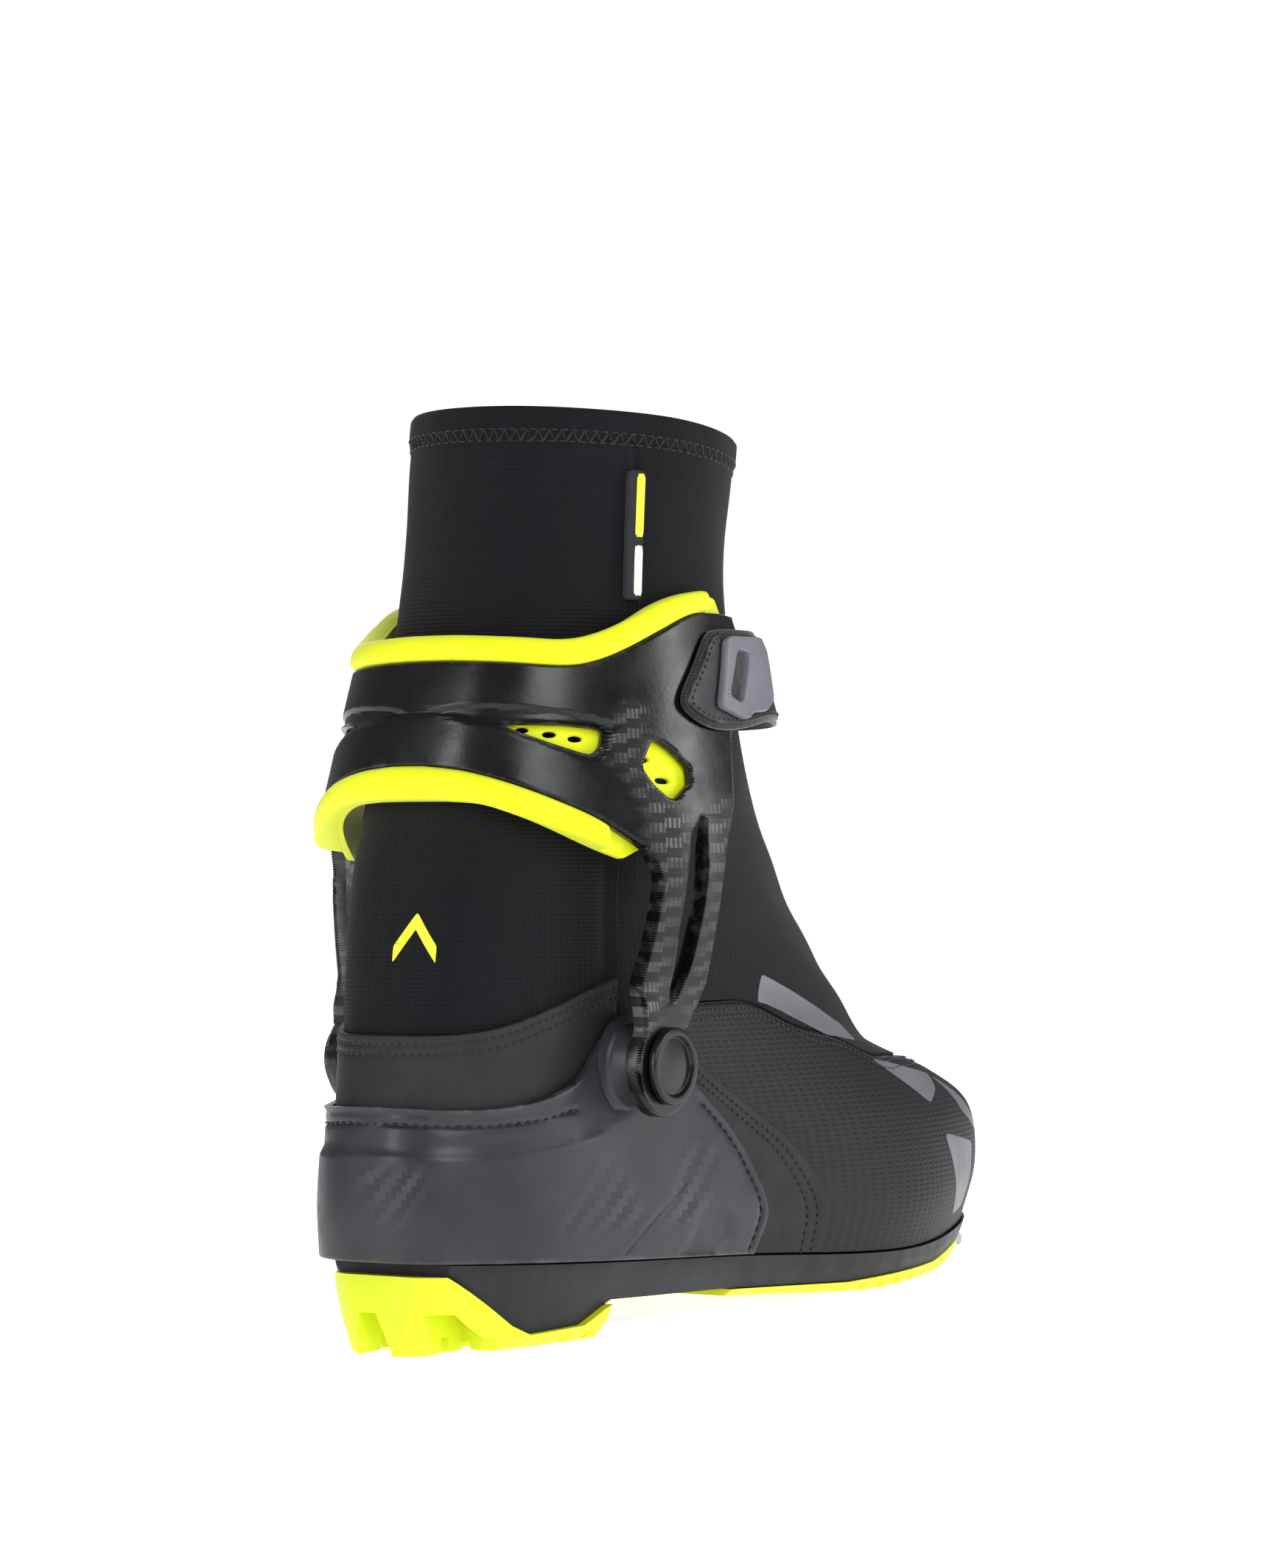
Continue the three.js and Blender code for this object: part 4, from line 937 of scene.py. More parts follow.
# ---------- ankle band, overlays and counter ----------
BAND_TOP = [(-24, 84.6), (-8, 86.8), (6.9, 91.5), (20, 96.5), (30, 99.5)]
BAND_LOW = [(-28, 56), (-8, 56), (8, 58), (18, 60), (26, 62)]
BAND_END = [(26, 62), (30, 80), (30, 99.5)]
COUNTER_FRONT = [(87.1, 18.9), (93, 32.4), (86, 46), (64.4, 66.9)]
COUNTER_TOP = [(-28.4, 65), (2.6, 67.5), (13, 71.8), (20, 80), (27, 86.5), (38, 88), (50, 81), (64.4, 66.9)]
OVER_REAR = [(72, 18.8), (77, 32), (70, 46), (54, 64), (44, 81)]
OVER_FRONT = [(120.9, 18.5), (123.3, 30.7), (114.5, 46), (94.5, 60.5), (74.9, 71.9), (61.4, 81.2)]


def wrapped(points, count=220):
    """A side view line carried round the heel from the inner side to the outer one."""
    edge = seam(points, count=count)
    first, end_a = edge[0, 0], edge[-1, 0]
    a = (edge[:, 0] - first) * end_a / (end_a - first)
    left = np.stack([-a, edge[:, 1]], -1)[::-1]
    return np.vstack([left[:-1], np.stack([a, edge[:, 1]], -1)])


def mirror(line):
    return line * np.array([-1, 1])


def band():
    place = on_skin(190, 15)
    scale = np.array([190, 15])
    top, low, front = wrapped(BAND_TOP), wrapped(BAND_LOW), seam(BAND_END)
    loop = np.vstack([low, front[1:], top[::-1][1:], mirror(front)[::-1][1:-1]]) * scale
    rows = [top + [0, -by] for by in (0.16, 0.34)]
    rails = [place(*(even(r * scale, 0.5)).T, np.zeros(1)) for r in rows]

    def relief(base, spots):
        return sum(0.28 * near(base, r, 0.55) for r in rails)

    plate("ankle_band_leather", place, loop, M["leather"], "foot", "synthetic_leather", LAY + TRIM, 0.05,
          relief=relief, radius=0.5, grid=1.6, replaces=("ankle_band",),
          creases=[even(r * scale, 0.8) for r in rows])
    stitches("band_stitches", [rail(place, even(r * scale, 0.4), LAY + TRIM - 0.22) for r in rows],
             "foot", "synthetic_leather", pitch=2.5)


band()


def overlays():
    place = on_skin(FOOT_ROUND, 16)
    scale = np.array([FOOT_ROUND, 16])
    for name, side in (("outer", 1), ("inner", -1)):
        rear, front = seam(OVER_REAR, side), seam(OVER_FRONT, side)
        for line in (rear, front):
            line[:, 1] = np.maximum(line[:, 1], 0.03)
        loop = np.vstack([rear[::-1], np.linspace(rear[0], front[0], 40)[1:-1], front,
                          np.linspace(front[-1], rear[-1], 16)[1:-1]]) * scale
        rows = [front * scale + np.array([-by * side, -by * 0.12]) for by in (3.0, 5.6)]
        rails = [traced(place, r) for r in rows]

        def relief(base, spots, rails=rails):
            return sum(0.25 * near(base, r, 0.55) for r in rails)

        plate(f"overlay_{name}_leather", place, loop, M["leather"], "foot", "synthetic_leather",
              LAY + TRIM - 0.5, 0.05, relief=relief, radius=0.5, grid=1.7, replaces=(f"overlay_{name}",),
              creases=rows)
        stitches(f"overlay_{name}_stitches", [rail(place, even(r, 0.4), LAY + TRIM - 0.72) for r in rows],
                 "foot", "synthetic_leather", pitch=2.5)


overlays()
SEAT_IN, SEAT_OUT = LAY * 2 + TRIM, LAY * 2 + TRIM + COUNTER


def heel_counter():
    scale = np.array([FOOT_ROUND, 15])
    place = on_skin(*scale)
    top = wrapped(COUNTER_TOP, 260)
    front = seam(COUNTER_FRONT)
    foot = front[0, 0]
    low = np.stack([np.linspace(-foot, foot, 200), np.full(200, 0.03)], -1)
    loop = np.vstack([low, front[1:], top[::-1][1:], mirror(front)[::-1][1:-1]]) * scale
    ridge = wrapped([(-29.5, 52), (-5, 52), (14.8, 54.8), (26, 58), (36, 64), (42, 72)], 160)
    shelf = even(ridge * scale, 1.0)
    groove = even((wrapped([(-28.6, 60.6), (0, 61.4), (12, 64)], 120)) * scale, 1.0)
    ridge_t = hermite(np.sort(np.abs(ridge[160:, 0])), ridge[160:, 1], np.linspace(0, 0.45, 60))
    slash = [seam([(25.7, 22.5), (40, 33), (55.8, 42.5)], side) * scale for side in (1, -1)]
    frame_lines = [seam([(48.8, 20.9), (67.3, 35.3), (77.2, 26.8), (68.8, 19.8)],
        side) * scale for side in (1, -1)]
    edge_rows = [seam([(84.2, 21), (89.6, 32.6), (83, 45), (63, 64.5)], side) * scale for side in (1, -1)]
    rails = {
        "groove": place(*groove.T, np.zeros(1)),
        "slash": [traced(place, s) for s in slash],
        "edge": [traced(place, s) for s in edge_rows],
    }

    def relief(base, spots):
        a, t = spots[:, 0] / scale[0], spots[:, 1] / scale[1]
        line = np.interp(np.abs(a), np.linspace(0, 0.45, 60), ridge_t)
        above = (t - line) * scale[1]
        step = 1.1 * smooth((above + 0.4) / 3.2) * smooth((0.30 - np.abs(a)) / 0.05)
        cut = 0.7 * near(base, rails["groove"], 0.6)
        for r in rails["slash"]:
            cut = cut + 0.5 * near(base, r, 0.5)
        for r in rails["edge"]:
            cut = cut + 0.6 * near(base, r, 0.7)
        for f in frame_lines:
            hollow = inside(spots, f)
            gap = distance(base, place(*looped(f, 0.5).T, np.zeros(1)))
            cut = cut + np.where(hollow, 0.8 * smooth(gap / 1.4), 0)
        return step + cut

    def marks(base, spots):
        t = spots[:, 1] / scale[1]
        return smooth((1.75 - t) / 0.25) * smooth((t - 0.4) / 0.4)

    plate("heel_counter_shell", place, loop, M["counter"], "foot", "counter_plastic", SEAT_OUT, SEAT_IN,
          relief=relief, radius=0.9, grid=1.5, replaces=("heel_counter",),
          creases=[shelf, groove] + slash + edge_rows, marks=marks)
    rows = [rail(place, even(groove, 0.4), SEAT_OUT - 1.6)]
    rows += [rail(place, even(e, 0.4), SEAT_OUT - 0.5) for e in edge_rows]
    stitches("counter_stitches", rows, "foot", "counter_plastic", pitch=3.0, long=2.2, radius=0.32)


heel_counter()


# ---------- padding, tongue and footbed ----------
def padding():
    back = -SHELL - LAY

    for name, columns, low, high, body in (
        ("heel_padding", np.linspace(-0.36, 0.36, 120), 1.7, 5.8, "foot"),
        ("tongue", np.linspace(0.8, 1.2, 80), 3.4, 6.2, "foot"),
    ):
        middle, reach = (columns[0] + columns[-1]) / 2, (columns[-1] - columns[0]) / 2

        def profile(a, low=low, high=high, middle=middle, reach=reach):
            rise = np.linspace(0, 1, 48)[:, None]
            v = mix(low, high, rise) + 0 * a[None]
            along = np.clip(1 - np.abs(2 * rise - 1) ** 6, 0, 1) ** 0.5
            across = np.clip(1 - np.abs((a[None] - middle) / reach) ** 8, 0, 1) ** 0.5
            thick = PAD * (0.12 + 0.88 * along * across)
            return np.vstack([v, v[::-1]]), np.vstack([back + 0 * v, (back - thick)[::-1]])

        obj = sweep(f"{name}_foam", columns, profile, M["lining"], body, "lining", closed=False,
            replaces=(name,))


padding()


def footbed():
    rear, front = GIRTHS[0][:2]
    inset = SHELL + 1.6
    middle, half = (front + rear) / 2, (front - rear) / 2
    run = np.linspace(0, 1, 90)
    x = mix(-25.5, 246, (1 - np.cos(math.pi * run)) / 2)

    def angle(at):
        return np.arccos(np.clip(1 - 2 * (at - rear) / (front - rear), -1, 1)) / math.pi

    a = angle(middle + (x - middle) * half / (half - inset))
    outer, inner = girth(0, a)[:, 1] + inset, girth(0, -a)[:, 1] - inset
    base = girth(0, angle(x))[:, 2] + BOARD + FIT
    across = np.linspace(0, 1, 41)
    crown = np.clip(1 - np.abs(2 * across - 1) ** 8, 0, 1) ** 0.5
    ends = np.clip(1 - np.abs(2 * run - 1) ** 14, 0, 1) ** 0.5
    y = mix(outer[:, None], inner[:, None], across)
    top = base[:, None] + FOOTBED * (0.25 + 0.75 * crown * ends[:, None])
    low = np.broadcast_to(base[:, None], y.shape)
    xs = np.broadcast_to(x[:, None], y.shape)
    rings = np.concatenate([np.stack([xs, y, top], -1), np.stack([xs, y, low], -1)[:, ::-1]], 1)
    n = rings.shape[1]
    at = np.arange(len(x) * n).reshape(len(x), n)
    faces = quads(at, len(x) - 1, n)
    faces += [tuple(at[0])[::-1], tuple(at[-1])]
    points = rings.reshape(-1, 3)
    obj = piece("footbed_foam", points, faces, M["lining"], "foot", "lining", ("footbed",),
        flat=points[:, :2])


footbed()

# ---------- cuff ----------
CUFF_TOP = [(-7.4, 186), (-4, 185.3), (6, 184.4), (14.4, 186), (24, 189.7), (35, 194.5), (48, 199.4),
    (60, 200.6), (70, 200)]
CUFF_WING = [(76, 190), (73, 178), (61, 168), (58, 158)]
CUFF_FOOT = [(-16.4, 157.2), (-14.5, 155.4), (-8.2, 151.2), (3.8, 144.7), (12, 140)]
STRUT_REAR = [(20.5, 135), (24.3, 128), (24, 120), (22.4, 108), (20, 97)]
STRUT_FRONT = [(55, 146), (50.5, 135), (47.5, 121), (46, 104), (45.4, 92)]
WINDOW_REAR = [(-9, 168.6), (3, 168.2), (12.6, 167), (11, 162.6), (8, 160), (0, 163)]
WINDOW_FRONT = [(27.4, 165), (33.5, 161.6), (38.7, 157.2), (38.3, 153), (30.8, 147.8), (25.4, 152),
    (22.3, 157)]
SLIT = [(42, 145), (40.8, 130), (38.4, 112), (35.4, 95), (33.2, 92), (32.2, 99), (32.6, 112),
    (34.6, 128), (36.8, 139)]
VENTS = [(-5.6, 167.4), (-0.2, 166.2), (5.8, 165), (24.6, 159.6), (30.6, 154)]


def flat_line(points, count):
    return spline(on_cuff(points), count)


def lobe(radius=LOBE, count=48):
    q = np.linspace(0.75, -math.pi - 0.75, count)
    return on_cuff(np.stack([PIVOT[0] + radius * np.cos(q), PIVOT[1] + radius * np.sin(q)], -1))


def mirrored(half):
    half = np.array(half)
    half[0, 0] = half[-1, 0] = 0
    back = half[::-1] * np.array([-1, 1])
    return np.vstack([half, back[1:-1]])


def cuff_outline():
    return mirrored(np.vstack([
        flat_line(CUFF_TOP, 80), flat_line(CUFF_WING, 30)[1:], flat_line(STRUT_FRONT, 40)[1:], lobe(),
        flat_line(STRUT_REAR[::-1], 40), flat_line(CUFF_FOOT[::-1], 50)[1:],
    ]))


def rounded(points, ease=0.22):
    """A closed outline with softly rounded corners."""
    p = np.asarray(points, float)
    out = []
    for i in range(len(p)):
        a, b, c = p[i - 1], p[i], p[(i + 1) % len(p)]
        s, e = mix(b, a, ease), mix(b, c, ease)
        for q in np.linspace(0, 1, 7):
            out.append((1 - q) ** 2 * s + 2 * q * (1 - q) * b + q * q * e)
    return looped(out, 0.6)[:-1]


CARBON = [
    [(11.5, 163), (14, 168), (15, 172), (21, 177), (28, 173), (24, 163), (22, 157), (28, 148),
        (34, 146), (36.8, 139),
     (34.6, 128), (32.6, 112), (32.2, 99), (30, 90), (24, 84), (16, 80), (14, 92), (19, 97), (21.4,
         108), (23, 120),
     (23.3, 128), (19, 136), (19.5, 143), (16, 152)],
    [(42, 145), (49, 150), (56, 150), (51.5, 135), (48.5, 121), (47, 104), (46.4, 92), (42, 88),
        (36, 92), (38.4, 112),
     (40.8, 130)],
]
RECESS = [(-13.2, 171.6), (-11.4, 173.6), (-8, 174), (-2, 173.2), (6, 171.6), (14, 169.8),
    (17.4, 168.8), (15.6, 165.4),
          (12.4, 160.8), (9.4, 157.4), (4, 159.6), (-3, 162.8), (-9, 167), (-12.2, 169.6)]


def both(points):
    flat = on_cuff(points)
    return [flat, flat * np.array([-1, 1])]


def cuff_shell():
    holes = []
    for hole in (WINDOW_REAR, WINDOW_FRONT, SLIT):
        holes += [rounded(h) for h in both(hole)]
    recesses = [rounded(r, ease=0.3) for r in both(RECESS)]

    def relief(base, spots):
        cut = np.zeros(len(spots))
        for r in recesses:
            within = inside(spots, r)
            gap = distance(base, wrap_cuff(*looped(r, 0.4).T, np.zeros(1)))
            cut += np.where(within, 1.15 * smooth(gap / 1.5), 0)
        return cut

    def marks(base, spots):
        fade = np.zeros(len(spots))
        for region in CARBON:
            for loop in both(region):
                gap = distance(spots, looped(loop, 0.4))
                fade = np.maximum(fade, np.where(inside(spots, loop), smooth(gap / 1.2), 0))
        return fade

    plate("cuff_shell_moulding", wrap_cuff, cuff_outline(), M["cuff"], "cuff", "cuff_plastic", 0.0, -CUFF,
          holes=holes, relief=relief, radius=0.9, grid=1.5, replaces=("cuff_shell",),
          creases=[np.vstack([r, r[:1]]) for r in recesses], marks=marks)


cuff_shell()

LINER_TOP = [(-4.4, 193), (0, 192.1), (7.8, 191.6), (16, 193.6), (26.5, 198), (36.3, 202.4),
    (46, 205.2), (56, 206.4), (66, 205)]
LINER_WING = [(74, 197), (73, 184), (66, 172), (60.5, 162), (60, 154)]
LINER_UNDER = [(52, 149), (40, 143), (28, 137.5), (17, 132.4)]
LINER_FOOT = [(-17.6, 148), (-15, 147), (-11, 144.4), (-3.2, 140.4), (4, 137.2), (10, 134.8)]


def cuff_liner():
    outline = mirrored(np.vstack([
        flat_line(LINER_TOP, 70), flat_line(LINER_WING, 24)[1:], flat_line(LINER_UNDER, 20)[1:],
        flat_line(LINER_FOOT[::-1], 50),
    ]))
    back = -CUFF - LINER_GAP
    vents = []
    for p in VENTS:
        for c in both([p]):
            q = np.linspace(0, 2 * math.pi, 20)[:-1]
            vents.append(c[0] + np.stack([0.75 * np.cos(q), 0.95 * np.sin(q)], -1))
    sheet = plate("cuff_liner_foam", wrap_cuff, outline, M["foam"], "cuff", "yellow_foam", back, back - LINER,
                  holes=vents, radius=0.35, grid=2.4, replaces=("cuff_liner",), edge_step=0.5)
    for name, rim, edge_line in (
        ("upper", flat_line(LINER_TOP, 120), flat_line(CUFF_TOP, 120)),
        ("lower", flat_line(LINER_FOOT, 120), flat_line(CUFF_FOOT, 120)),
    ):
        rim[0, 0] = edge_line[0, 0] = 0
        halves = np.stack([edge_line, rim], 1)
        full = np.concatenate([halves[::-1] * np.array([-1, 1]), halves[1:]])
        if name == "upper":
            full = full[np.abs(full[:, 0, 0]) < 30.5]
        sign = 1 if name == "upper" else -1
        rows_p, rows_q, rows_d = [], [], []
        across = np.linspace(0, 1, 15)
        for s in across:
            place_line = mix(full[:, 0] + [0, sign * LAY * 0.2], full[:, 1], s)
            rows_p.append(place_line[:, 0])
            rows_q.append(place_line[:, 1])
            crown = math.sqrt(max(0.0, 1 - (2 * s - 1) ** 2))
            rows_d.append(np.full(len(full), -1.0 + (LIP + 1.0) * (0.28 + 0.72 * crown)))
        for s in across[::-1]:
            place_line = mix(full[:, 0] + [0, sign * LAY * 0.2], full[:, 1], s)
            rows_p.append(place_line[:, 0])
            rows_q.append(place_line[:, 1])
            rows_d.append(np.full(len(full), back - 0.2))
        p, q, d = (np.array(r) for r in (rows_p, rows_q, rows_d))
        ends = np.clip(1 - np.abs(p) / (np.abs(p).max() + 1e-6), 0, 1)
        d = np.where(d > back, mix(back, d, smooth(ends / 0.05) * 0.9 + 0.1), d)
        points = wrap_cuff(p, q, d)
        rows, n = p.shape
        at = np.arange(rows * n).reshape(rows, n)
        faces = quads(at, rows, n - 1)
        faces += [tuple(at[:, 0]), tuple(at[::-1, n - 1])]
        lip = piece(f"liner_lip_{name}", points.reshape(-1, 3), faces, M["foam"], "cuff", "yellow_foam",
                    flat=np.stack([p.ravel(), q.ravel()], -1), sharp=60)


cuff_liner()

# ---------- strap ----------
STRAP_TAB = [(57.6, 195.4), (51.6, 193.6), (44, 184.5), (38.2, 176.4), (39.4, 172), (48, 168), (60, 167.6)]
STRAP_TOP, STRAP_LOW, HINGE_A, ANCHOR_A = 196, 170.5, -0.58, -0.44


def strap():
    tab = flat_line([(80, STRAP_TOP), *STRAP_TAB, (80, STRAP_LOW)], 90)
    begin = (2 + HINGE_A) * FLAT
    loop = np.vstack([[begin, STRAP_TOP], tab, [begin, STRAP_LOW]])
    loop = rounded(looped(loop, 1.2)[:-1], ease=0.4)
    plate("strap_felt", wrap_strap, loop, M["strap"], "strap", "webbing", LAY + 1.35, LAY + 0.05,
          radius=0.45, grid=1.8, replaces=("strap",))
    inner = steps_in(wrap_strap, turned(looped(loop, 0.7)[:-1], True), 1.5)
    plate("strap_face", wrap_strap, inner, M["strap_face"], "strap", "webbing", LAY + STRAP + 0.1, LAY + 1.2,
          radius=0.35, grid=1.8)
    seam_line = steps_in(wrap_strap, turned(looped(loop, 0.5)[:-1], True), 2.6)
    stitches("strap_stitches", [rail(wrap_strap, seam_line, LAY + STRAP + 0.05)], "strap", "webbing",
        pitch=2.2)


strap()


def strap_pull():
    outline = [(57, 193), (78, 193.4), (82, 190), (80, 176), (73, 172.4), (66, 172.2), (62, 169.8),
        (50, 173.4)]
    slot = [(61, 189.4), (67.4, 188.8), (60, 174.4), (54.6, 176.6)]
    plate("strap_pull_tab", wrap_strap, rounded(on_cuff(outline), ease=0.12), M["pull"], "strap",
        "grey_plastic",
          LAY * 2 + STRAP + PULL, LAY * 2 + STRAP - 0.5, holes=[rounded(on_cuff(slot))],
          radius=0.55, grid=1.5,
          replaces=("strap_pull",))
    well = rounded(on_cuff(slot))
    plate("strap_pull_well", wrap_strap, well, M["strap"], "strap", "webbing",
          LAY + STRAP + 0.4, LAY + STRAP - 0.3, radius=0.2, grid=1.5)


strap_pull()


def strap_anchor():
    start_p, end_p = ANCHOR_A * FLAT, (HINGE_A + 0.008) * FLAT
    outline = np.array([[start_p, STRAP_LOW + 3], [end_p, STRAP_LOW], [end_p, STRAP_TOP],
        [start_p, STRAP_TOP - 5]])
    plate("strap_anchor_webbing", wrap_cuff, rounded(outline, ease=0.12), M["strap"], "cuff", "webbing",
          LAY + STRAP, 0.1, radius=0.4, grid=1.8, replaces=("strap_anchor",))


strap_anchor()

# ---------- pivots ----------


def lathe(name, profile, origin, axis, material, body, slot, replaces=(), sides=72):
    """A turned piece: profile of (radius, height) points, in millimetres."""
    prof = np.asarray(profile, float)
    axis = np.asarray(axis, float) / np.linalg.norm(axis)
    side = np.cross(axis, [0.3, 0.1, 0.9])
    side /= np.linalg.norm(side)
    other = np.cross(axis, side)
    q = np.linspace(0, 2 * math.pi, sides + 1)[:-1]
    ring = np.cos(q)[:, None] * side + np.sin(q)[:, None] * other
    points = np.array(origin) + prof[:, 0, None, None] * ring[None] + prof[:, 1, None, None] * axis
    at = np.arange(len(prof) * sides).reshape(len(prof), sides)
    faces = quads(at, len(prof) - 1, sides)
    faces += [tuple(at[0])[::-1], tuple(at[-1])]
    flat = np.stack([(prof[:, :1] * np.ones(sides)).ravel(), np.tile(q * 10, len(prof))], -1)
    return piece(name, points.reshape(-1, 3), faces, material, body, slot, replaces, flat=flat, sharp=50)


def arc(cx, cy, r, q0, q1, n=6):
    q = np.linspace(math.radians(q0), math.radians(q1), n)
    return [(cx + r * math.cos(k), cy + r * math.sin(k)) for k in q]


def pivots():
    r, h = CAP
    profile = [(0.2, 0), (r - 0.5, 0)] + arc(r - 0.7, 0.7, 0.7, -90, 0) + arc(r - 0.8, h - 0.8, 0.8, 0, 90)
    profile += arc(r - 1.9, h - 0.4, 0.4, 90, 170) + arc(r - 2.9, h - 0.95, 0.35, -20, -100)
    profile += [(r - 4, h - 1.15), (r - 6, h - 0.95), (r - 9, h - 0.85), (0.2, h - 0.82)]
    pivot_a, pivot_t = on_last([PIVOT])[0]
    for name, side in (("outer", -1), ("inner", 1)):
        face = float(arm_face(np.array(side))) + FIT
        boss_face = face - FIT - BOSS_BEHIND
        shell_face = abs(float(last(-side * pivot_a, pivot_t)[1])) + SEAT_OUT - boss_face
        boss = [(0.2, shell_face - 2), (BOSS + 2.4, shell_face - 2), (BOSS + 2.4, shell_face - 0.5)]
        boss += [(BOSS + 1.2, shell_face), (BOSS + 0.4, shell_face + 0.5), (BOSS, shell_face + 1.2)]
        boss += arc(BOSS - 0.6, -0.6, 0.6, 0, 90) + [(4.7, 0), (4.35, -0.35), (4.35, -3.4), (0.2, -3.4)]
        lathe(f"counter_boss_{name}", boss, (PIVOT[0], side * boss_face, PIVOT[1]), (0, side, 0),
            M["counter"],
              "foot", "counter_plastic")
        lathe(f"pivot_cap_{name}_disc", profile, (PIVOT[0], side * face, PIVOT[1]), (0, side, 0), M["cap"],
              "foot", "cuff_plastic", (f"pivot_cap_{name}",))


pivots()

# ---------- zip, label and prints ----------


def zip_front():
    parts = []
    t = np.linspace(GAITER + 0.05, TOP - 0.42, 60)
    for side in (-1, 1):
        for k, at in enumerate(t):
            c = last(1.0, at)
            n = skin(last, np.array(1.0), np.array(at), np.array(1.0)) - c
            mid = c + n * (FIT + 0.9) + np.array([0, side * 0.9 + (0.25 if k % 2 else -0.25) * side, 0])
            path = [mid + np.array([0, -0.9, 0]), mid, mid + np.array([0, 0.9, 0])]
            parts.append(tube(path, 0.55, 6))
    points, faces = gathered(parts)
    piece("zip_teeth", points, faces, M["cap"], "cuff", "webbing")


zip_front()


def surface_print(name, place, outline, material, slot, depth, ease=0.08, body="foot"):
    return plate(name, place, rounded(outline, ease=ease), material, body, slot, depth + 0.12, depth - 0.25,
                 radius=0.08, grid=1.6)


STRIPE = [(0.565, 4.465), (0.617, 4.284), (0.663, 4.111), (0.698, 3.911), (0.664, 3.423), (0.612, 3.44),
          (0.592, 3.635), (0.569, 3.814), (0.549, 3.912), (0.538, 3.92)]
BLADES = [
    [(0.645, 3.04), (0.765, 2.8), (0.735, 2.45), (0.69, 2.2)],
    [(0.77, 2.75), (0.8, 2.35), (0.84, 1.42), (0.775, 1.95)],
    [(0.69, 1.72), (0.79, 1.4), (0.768, 0.35), (0.728, 0.3)],
]
CHEVRON = [(-13, 104), (-6.3, 113), (0.5, 104), (0.5, 108.5), (-6.3, 117.5), (-13, 108.5)]  # y and z


def on_back(points):
    """(a, t) of the heel's points that the back view shows at y, z."""
    y, z = np.asarray(points, float).T
    t, a = np.full_like(y, 5.0), np.zeros_like(y)
    low, high = np.full_like(y, -0.3), np.full_like(y, 0.3)
    for _ in range(4):
        a = bisect(lambda k, t=t: y - last(k, t)[..., 1], low, high)
        t = bisect(lambda k, a=a: last(a, k)[..., 2] - z, np.zeros_like(y), np.full_like(y, TOP))
    return np.stack([a, t], -1)



def prints():
    place, scale = on_skin(FOOT_ROUND, 16), np.array([FOOT_ROUND, 16])
    surface_print("side_stripe", place, np.array(STRIPE) * scale, M["print"], "coated_fabric", 0.1)
    for k, blade in enumerate(BLADES):
        surface_print(f"toe_blade_{k}", place, np.array(blade) * scale, M["print"], "coated_fabric",
            0.05, ease=0.12)
    chevron = on_back(even(np.array(CHEVRON + CHEVRON[:1], float), 0.7)[:-1]) * scale
    bends(plate("heel_chevron", place, chevron, M["yellow_print"], None, "softshell", 0.27, -0.1,
                radius=0.08, grid=1.2))


def label():
    place, scale = on_skin(LEG_ROUND, 16), np.array([LEG_ROUND, 16])

    def block(name, a0, a1, t0, t1, material, outer, inner, replaces=()):
        corners = np.array([(a0, t0), (a1, t0), (a1, t1), (a0, t1)]) * scale
        return plate(name, place, rounded(corners, ease=0.06), material, "cuff", "webbing", outer, inner,
                     radius=0.3, grid=1.0, replaces=replaces)

    block("seam_tab_loop", 0.334, 0.366, 9.6, 10.6, M["label"], FIT + 1.6, 0.05, ("seam_tab",))
    block("seam_tab_upper", 0.349, 0.3655, 10.12, 10.58, M["yellow_print"], FIT + 1.75, FIT + 1.2)
    block("seam_tab_lower", 0.349, 0.3655, 9.63, 10.06, M["label_white"], FIT + 1.75, FIT + 1.2)


label()
prints()

# ---------- kept CAD nodes ----------
KEPT = {
    "outsole_heel": "rubber", "outsole_forefoot": "rubber", "midsole": "chassis", "toe_bar": "steel",
    "lasting_board": "board", "anchor_rivet": "steel", "zip_chain": "webbing", "zip_slider": "steel",
    "zip_pull": "webbing", "pivot_pin_outer": "steel", "pivot_pin_inner": "steel",
    "pivot_washer_outer": "cap", "pivot_washer_inner": "cap",
}
for name, finish in KEPT.items():
    node = frame["nodes"][name]
    for slot_ in node.material_slots:
        slot_.material = M[finish]

# ---------- camera, light and floor ----------


def camera():
    phi, pitch = math.radians(34.19), math.radians(-1.03)  # turn about the boot, and tilt
    far, height, across = 1287, 129.3, 53.0  # the eye's place, in millimetres
    f, frame_height = 6386, 2128
    d = np.array([math.cos(phi), math.sin(phi), 0])
    r = np.array([math.sin(phi), -math.cos(phi), 0])
    up = np.array([0, 0, 1.0])
    eye = -far * d + across * r + height * up
    forward = d * math.cos(pitch) - up * math.sin(pitch)
    above = up * math.cos(pitch) + d * math.sin(pitch)
    turn = world([forward, above, [0, 0, 0]]) * 1000
    forward, above = (Vector(turn[i] - turn[2]).normalized() for i in (0, 1))
    right = forward.cross(above).normalized()
    above = right.cross(forward).normalized()
    data = bpy.data.cameras.new("camera")
    data.sensor_width = 36
    data.lens = f / frame_height * 36
    data.clip_start, data.clip_end = 0.05, 60
    cam = bpy.data.objects.new("camera", data)
    bpy.context.scene.collection.objects.link(cam)
    rotation = Matrix((right, above, -forward)).transposed()
    cam.matrix_world = Matrix.Translation(Vector(world(eye))) @ rotation.to_4x4()
    bpy.context.scene.camera = cam
    return cam


camera()


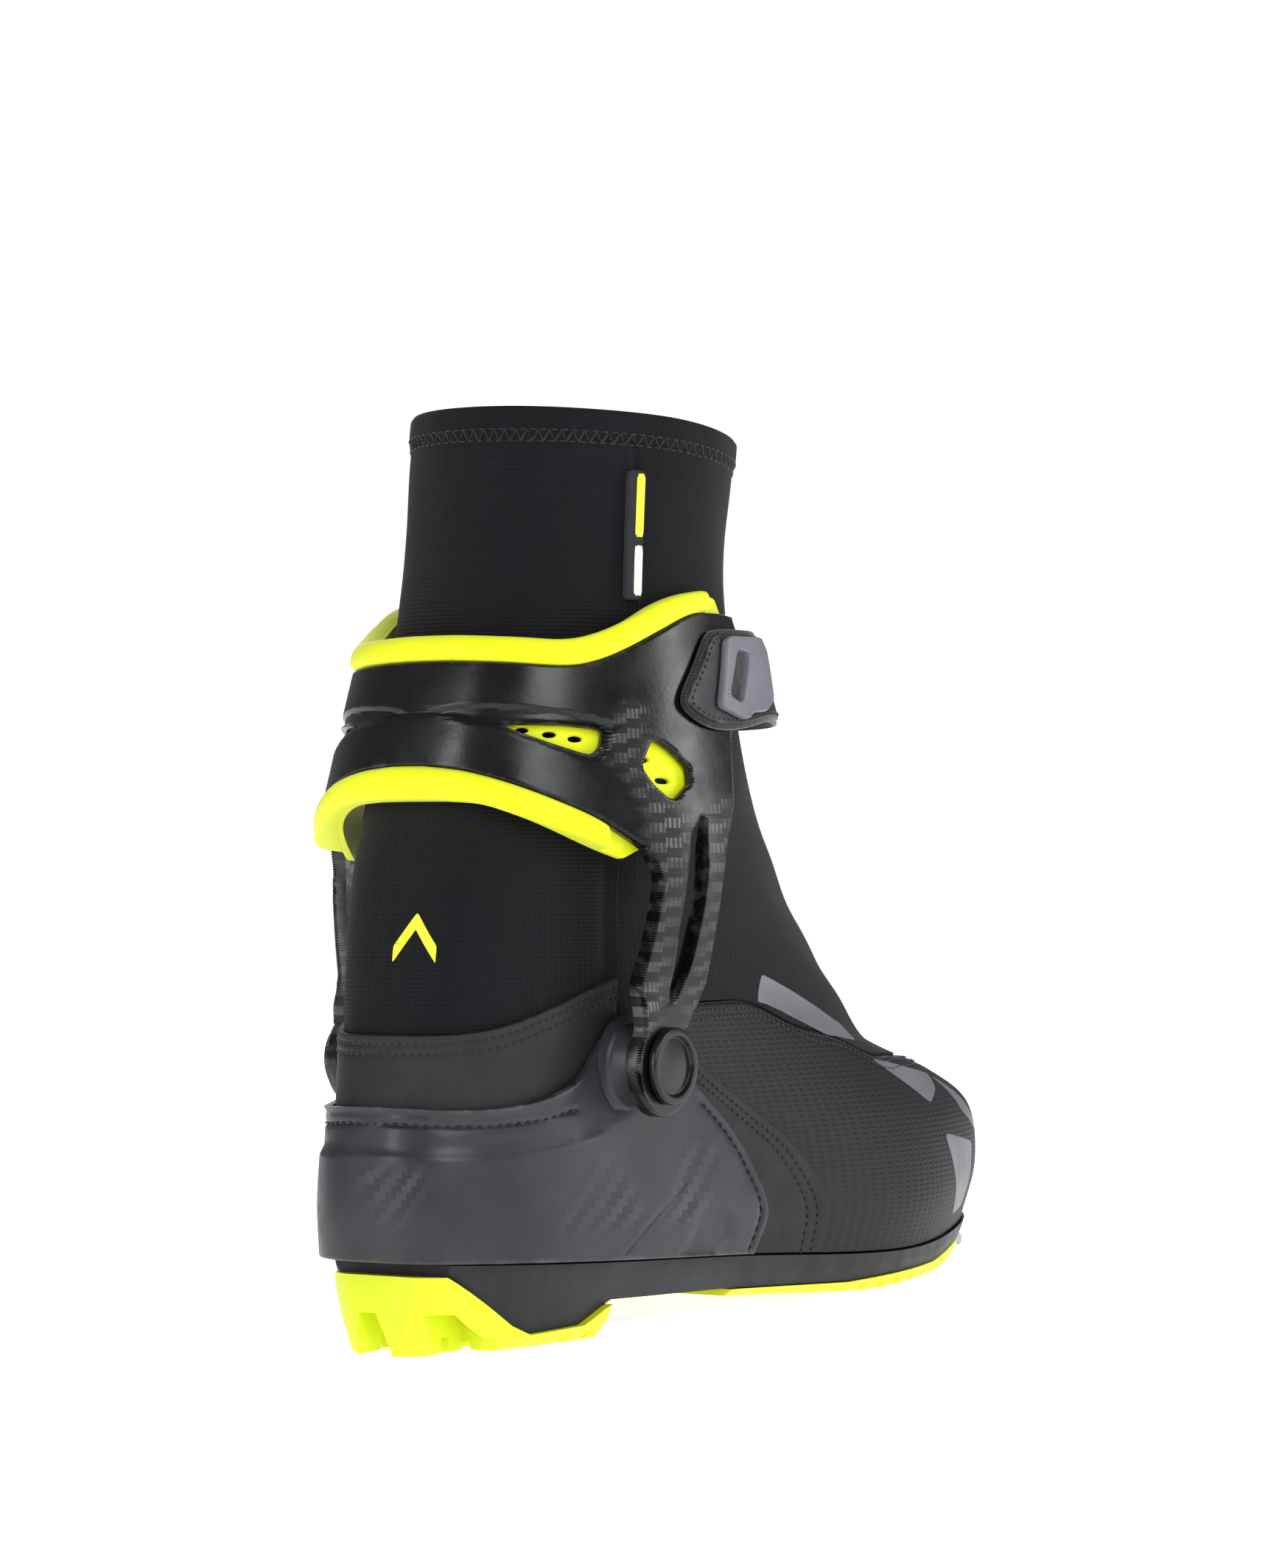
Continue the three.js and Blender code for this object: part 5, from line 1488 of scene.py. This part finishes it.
def area(name, location, target, size, power, shape=(1, 1)):
    data = bpy.data.lights.new(name, "AREA")
    data.shape = "RECTANGLE"
    data.size, data.size_y = size * shape[0], size * shape[1]
    data.energy = power
    lamp = bpy.data.objects.new(name, data)
    lamp.location = location
    lamp.rotation_mode = "QUATERNION"
    lamp.rotation_quaternion = (Vector(target) - Vector(location)).to_track_quat("-Z", "Y")
    bpy.context.scene.collection.objects.link(lamp)


def studio():
    floor = bpy.data.meshes.new("floor")
    n = 96
    ring = [(FLOOR_RADIUS * math.cos(2 * math.pi * k / n), FLOOR_RADIUS * math.sin(2 * math.pi * k / n),
        -0.0004) for k in range(n)]
    floor.from_pydata(ring, [], [tuple(range(n))])
    obj = bpy.data.objects.new("floor", floor)
    bpy.context.scene.collection.objects.link(obj)
    f = Finish("floor_white", roughness=0.9, specular=0.1)
    f.colour(linear("#f6f6f6"))
    f.shader.inputs["Emission Color"].default_value = (1, 1, 1, 1)
    f.shader.inputs["Emission Strength"].default_value = 0.85
    floor.materials.append(f.material)
    scene = bpy.context.scene
    scene.view_settings.view_transform = "Standard"
    world_ = bpy.data.worlds.new("studio")
    scene.world = world_
    world_.use_nodes = True
    nodes, links = world_.node_tree.nodes, world_.node_tree.links
    back = nodes["Background"]
    back.inputs["Color"].default_value = (1, 1, 1, 1)
    back.inputs["Strength"].default_value = 0.24
    bright = nodes.new("ShaderNodeBackground")
    bright.inputs["Color"].default_value = (1, 1, 1, 1)
    bright.inputs["Strength"].default_value = 1.05
    path, blend = nodes.new("ShaderNodeLightPath"), nodes.new("ShaderNodeMixShader")
    links.new(path.outputs["Is Camera Ray"], blend.inputs[0])
    links.new(back.outputs[0], blend.inputs[1])
    links.new(bright.outputs[0], blend.inputs[2])
    links.new(blend.outputs[0], nodes["World Output"].inputs["Surface"])
    target = (0.06, 0, 0.11)
    area("key", (-0.75, -1.25, 1.0), target, 0.8, 14, (1, 1.4))
    area("side", (0.9, -1.2, 0.5), target, 0.5, 6, (0.6, 1.6))
    area("rear", (-1.4, 0.5, 0.6), target, 0.6, 7, (0.5, 1.6))
    area("front", (1.3, 0.9, 0.9), target, 0.9, 8, (1, 1))


studio()
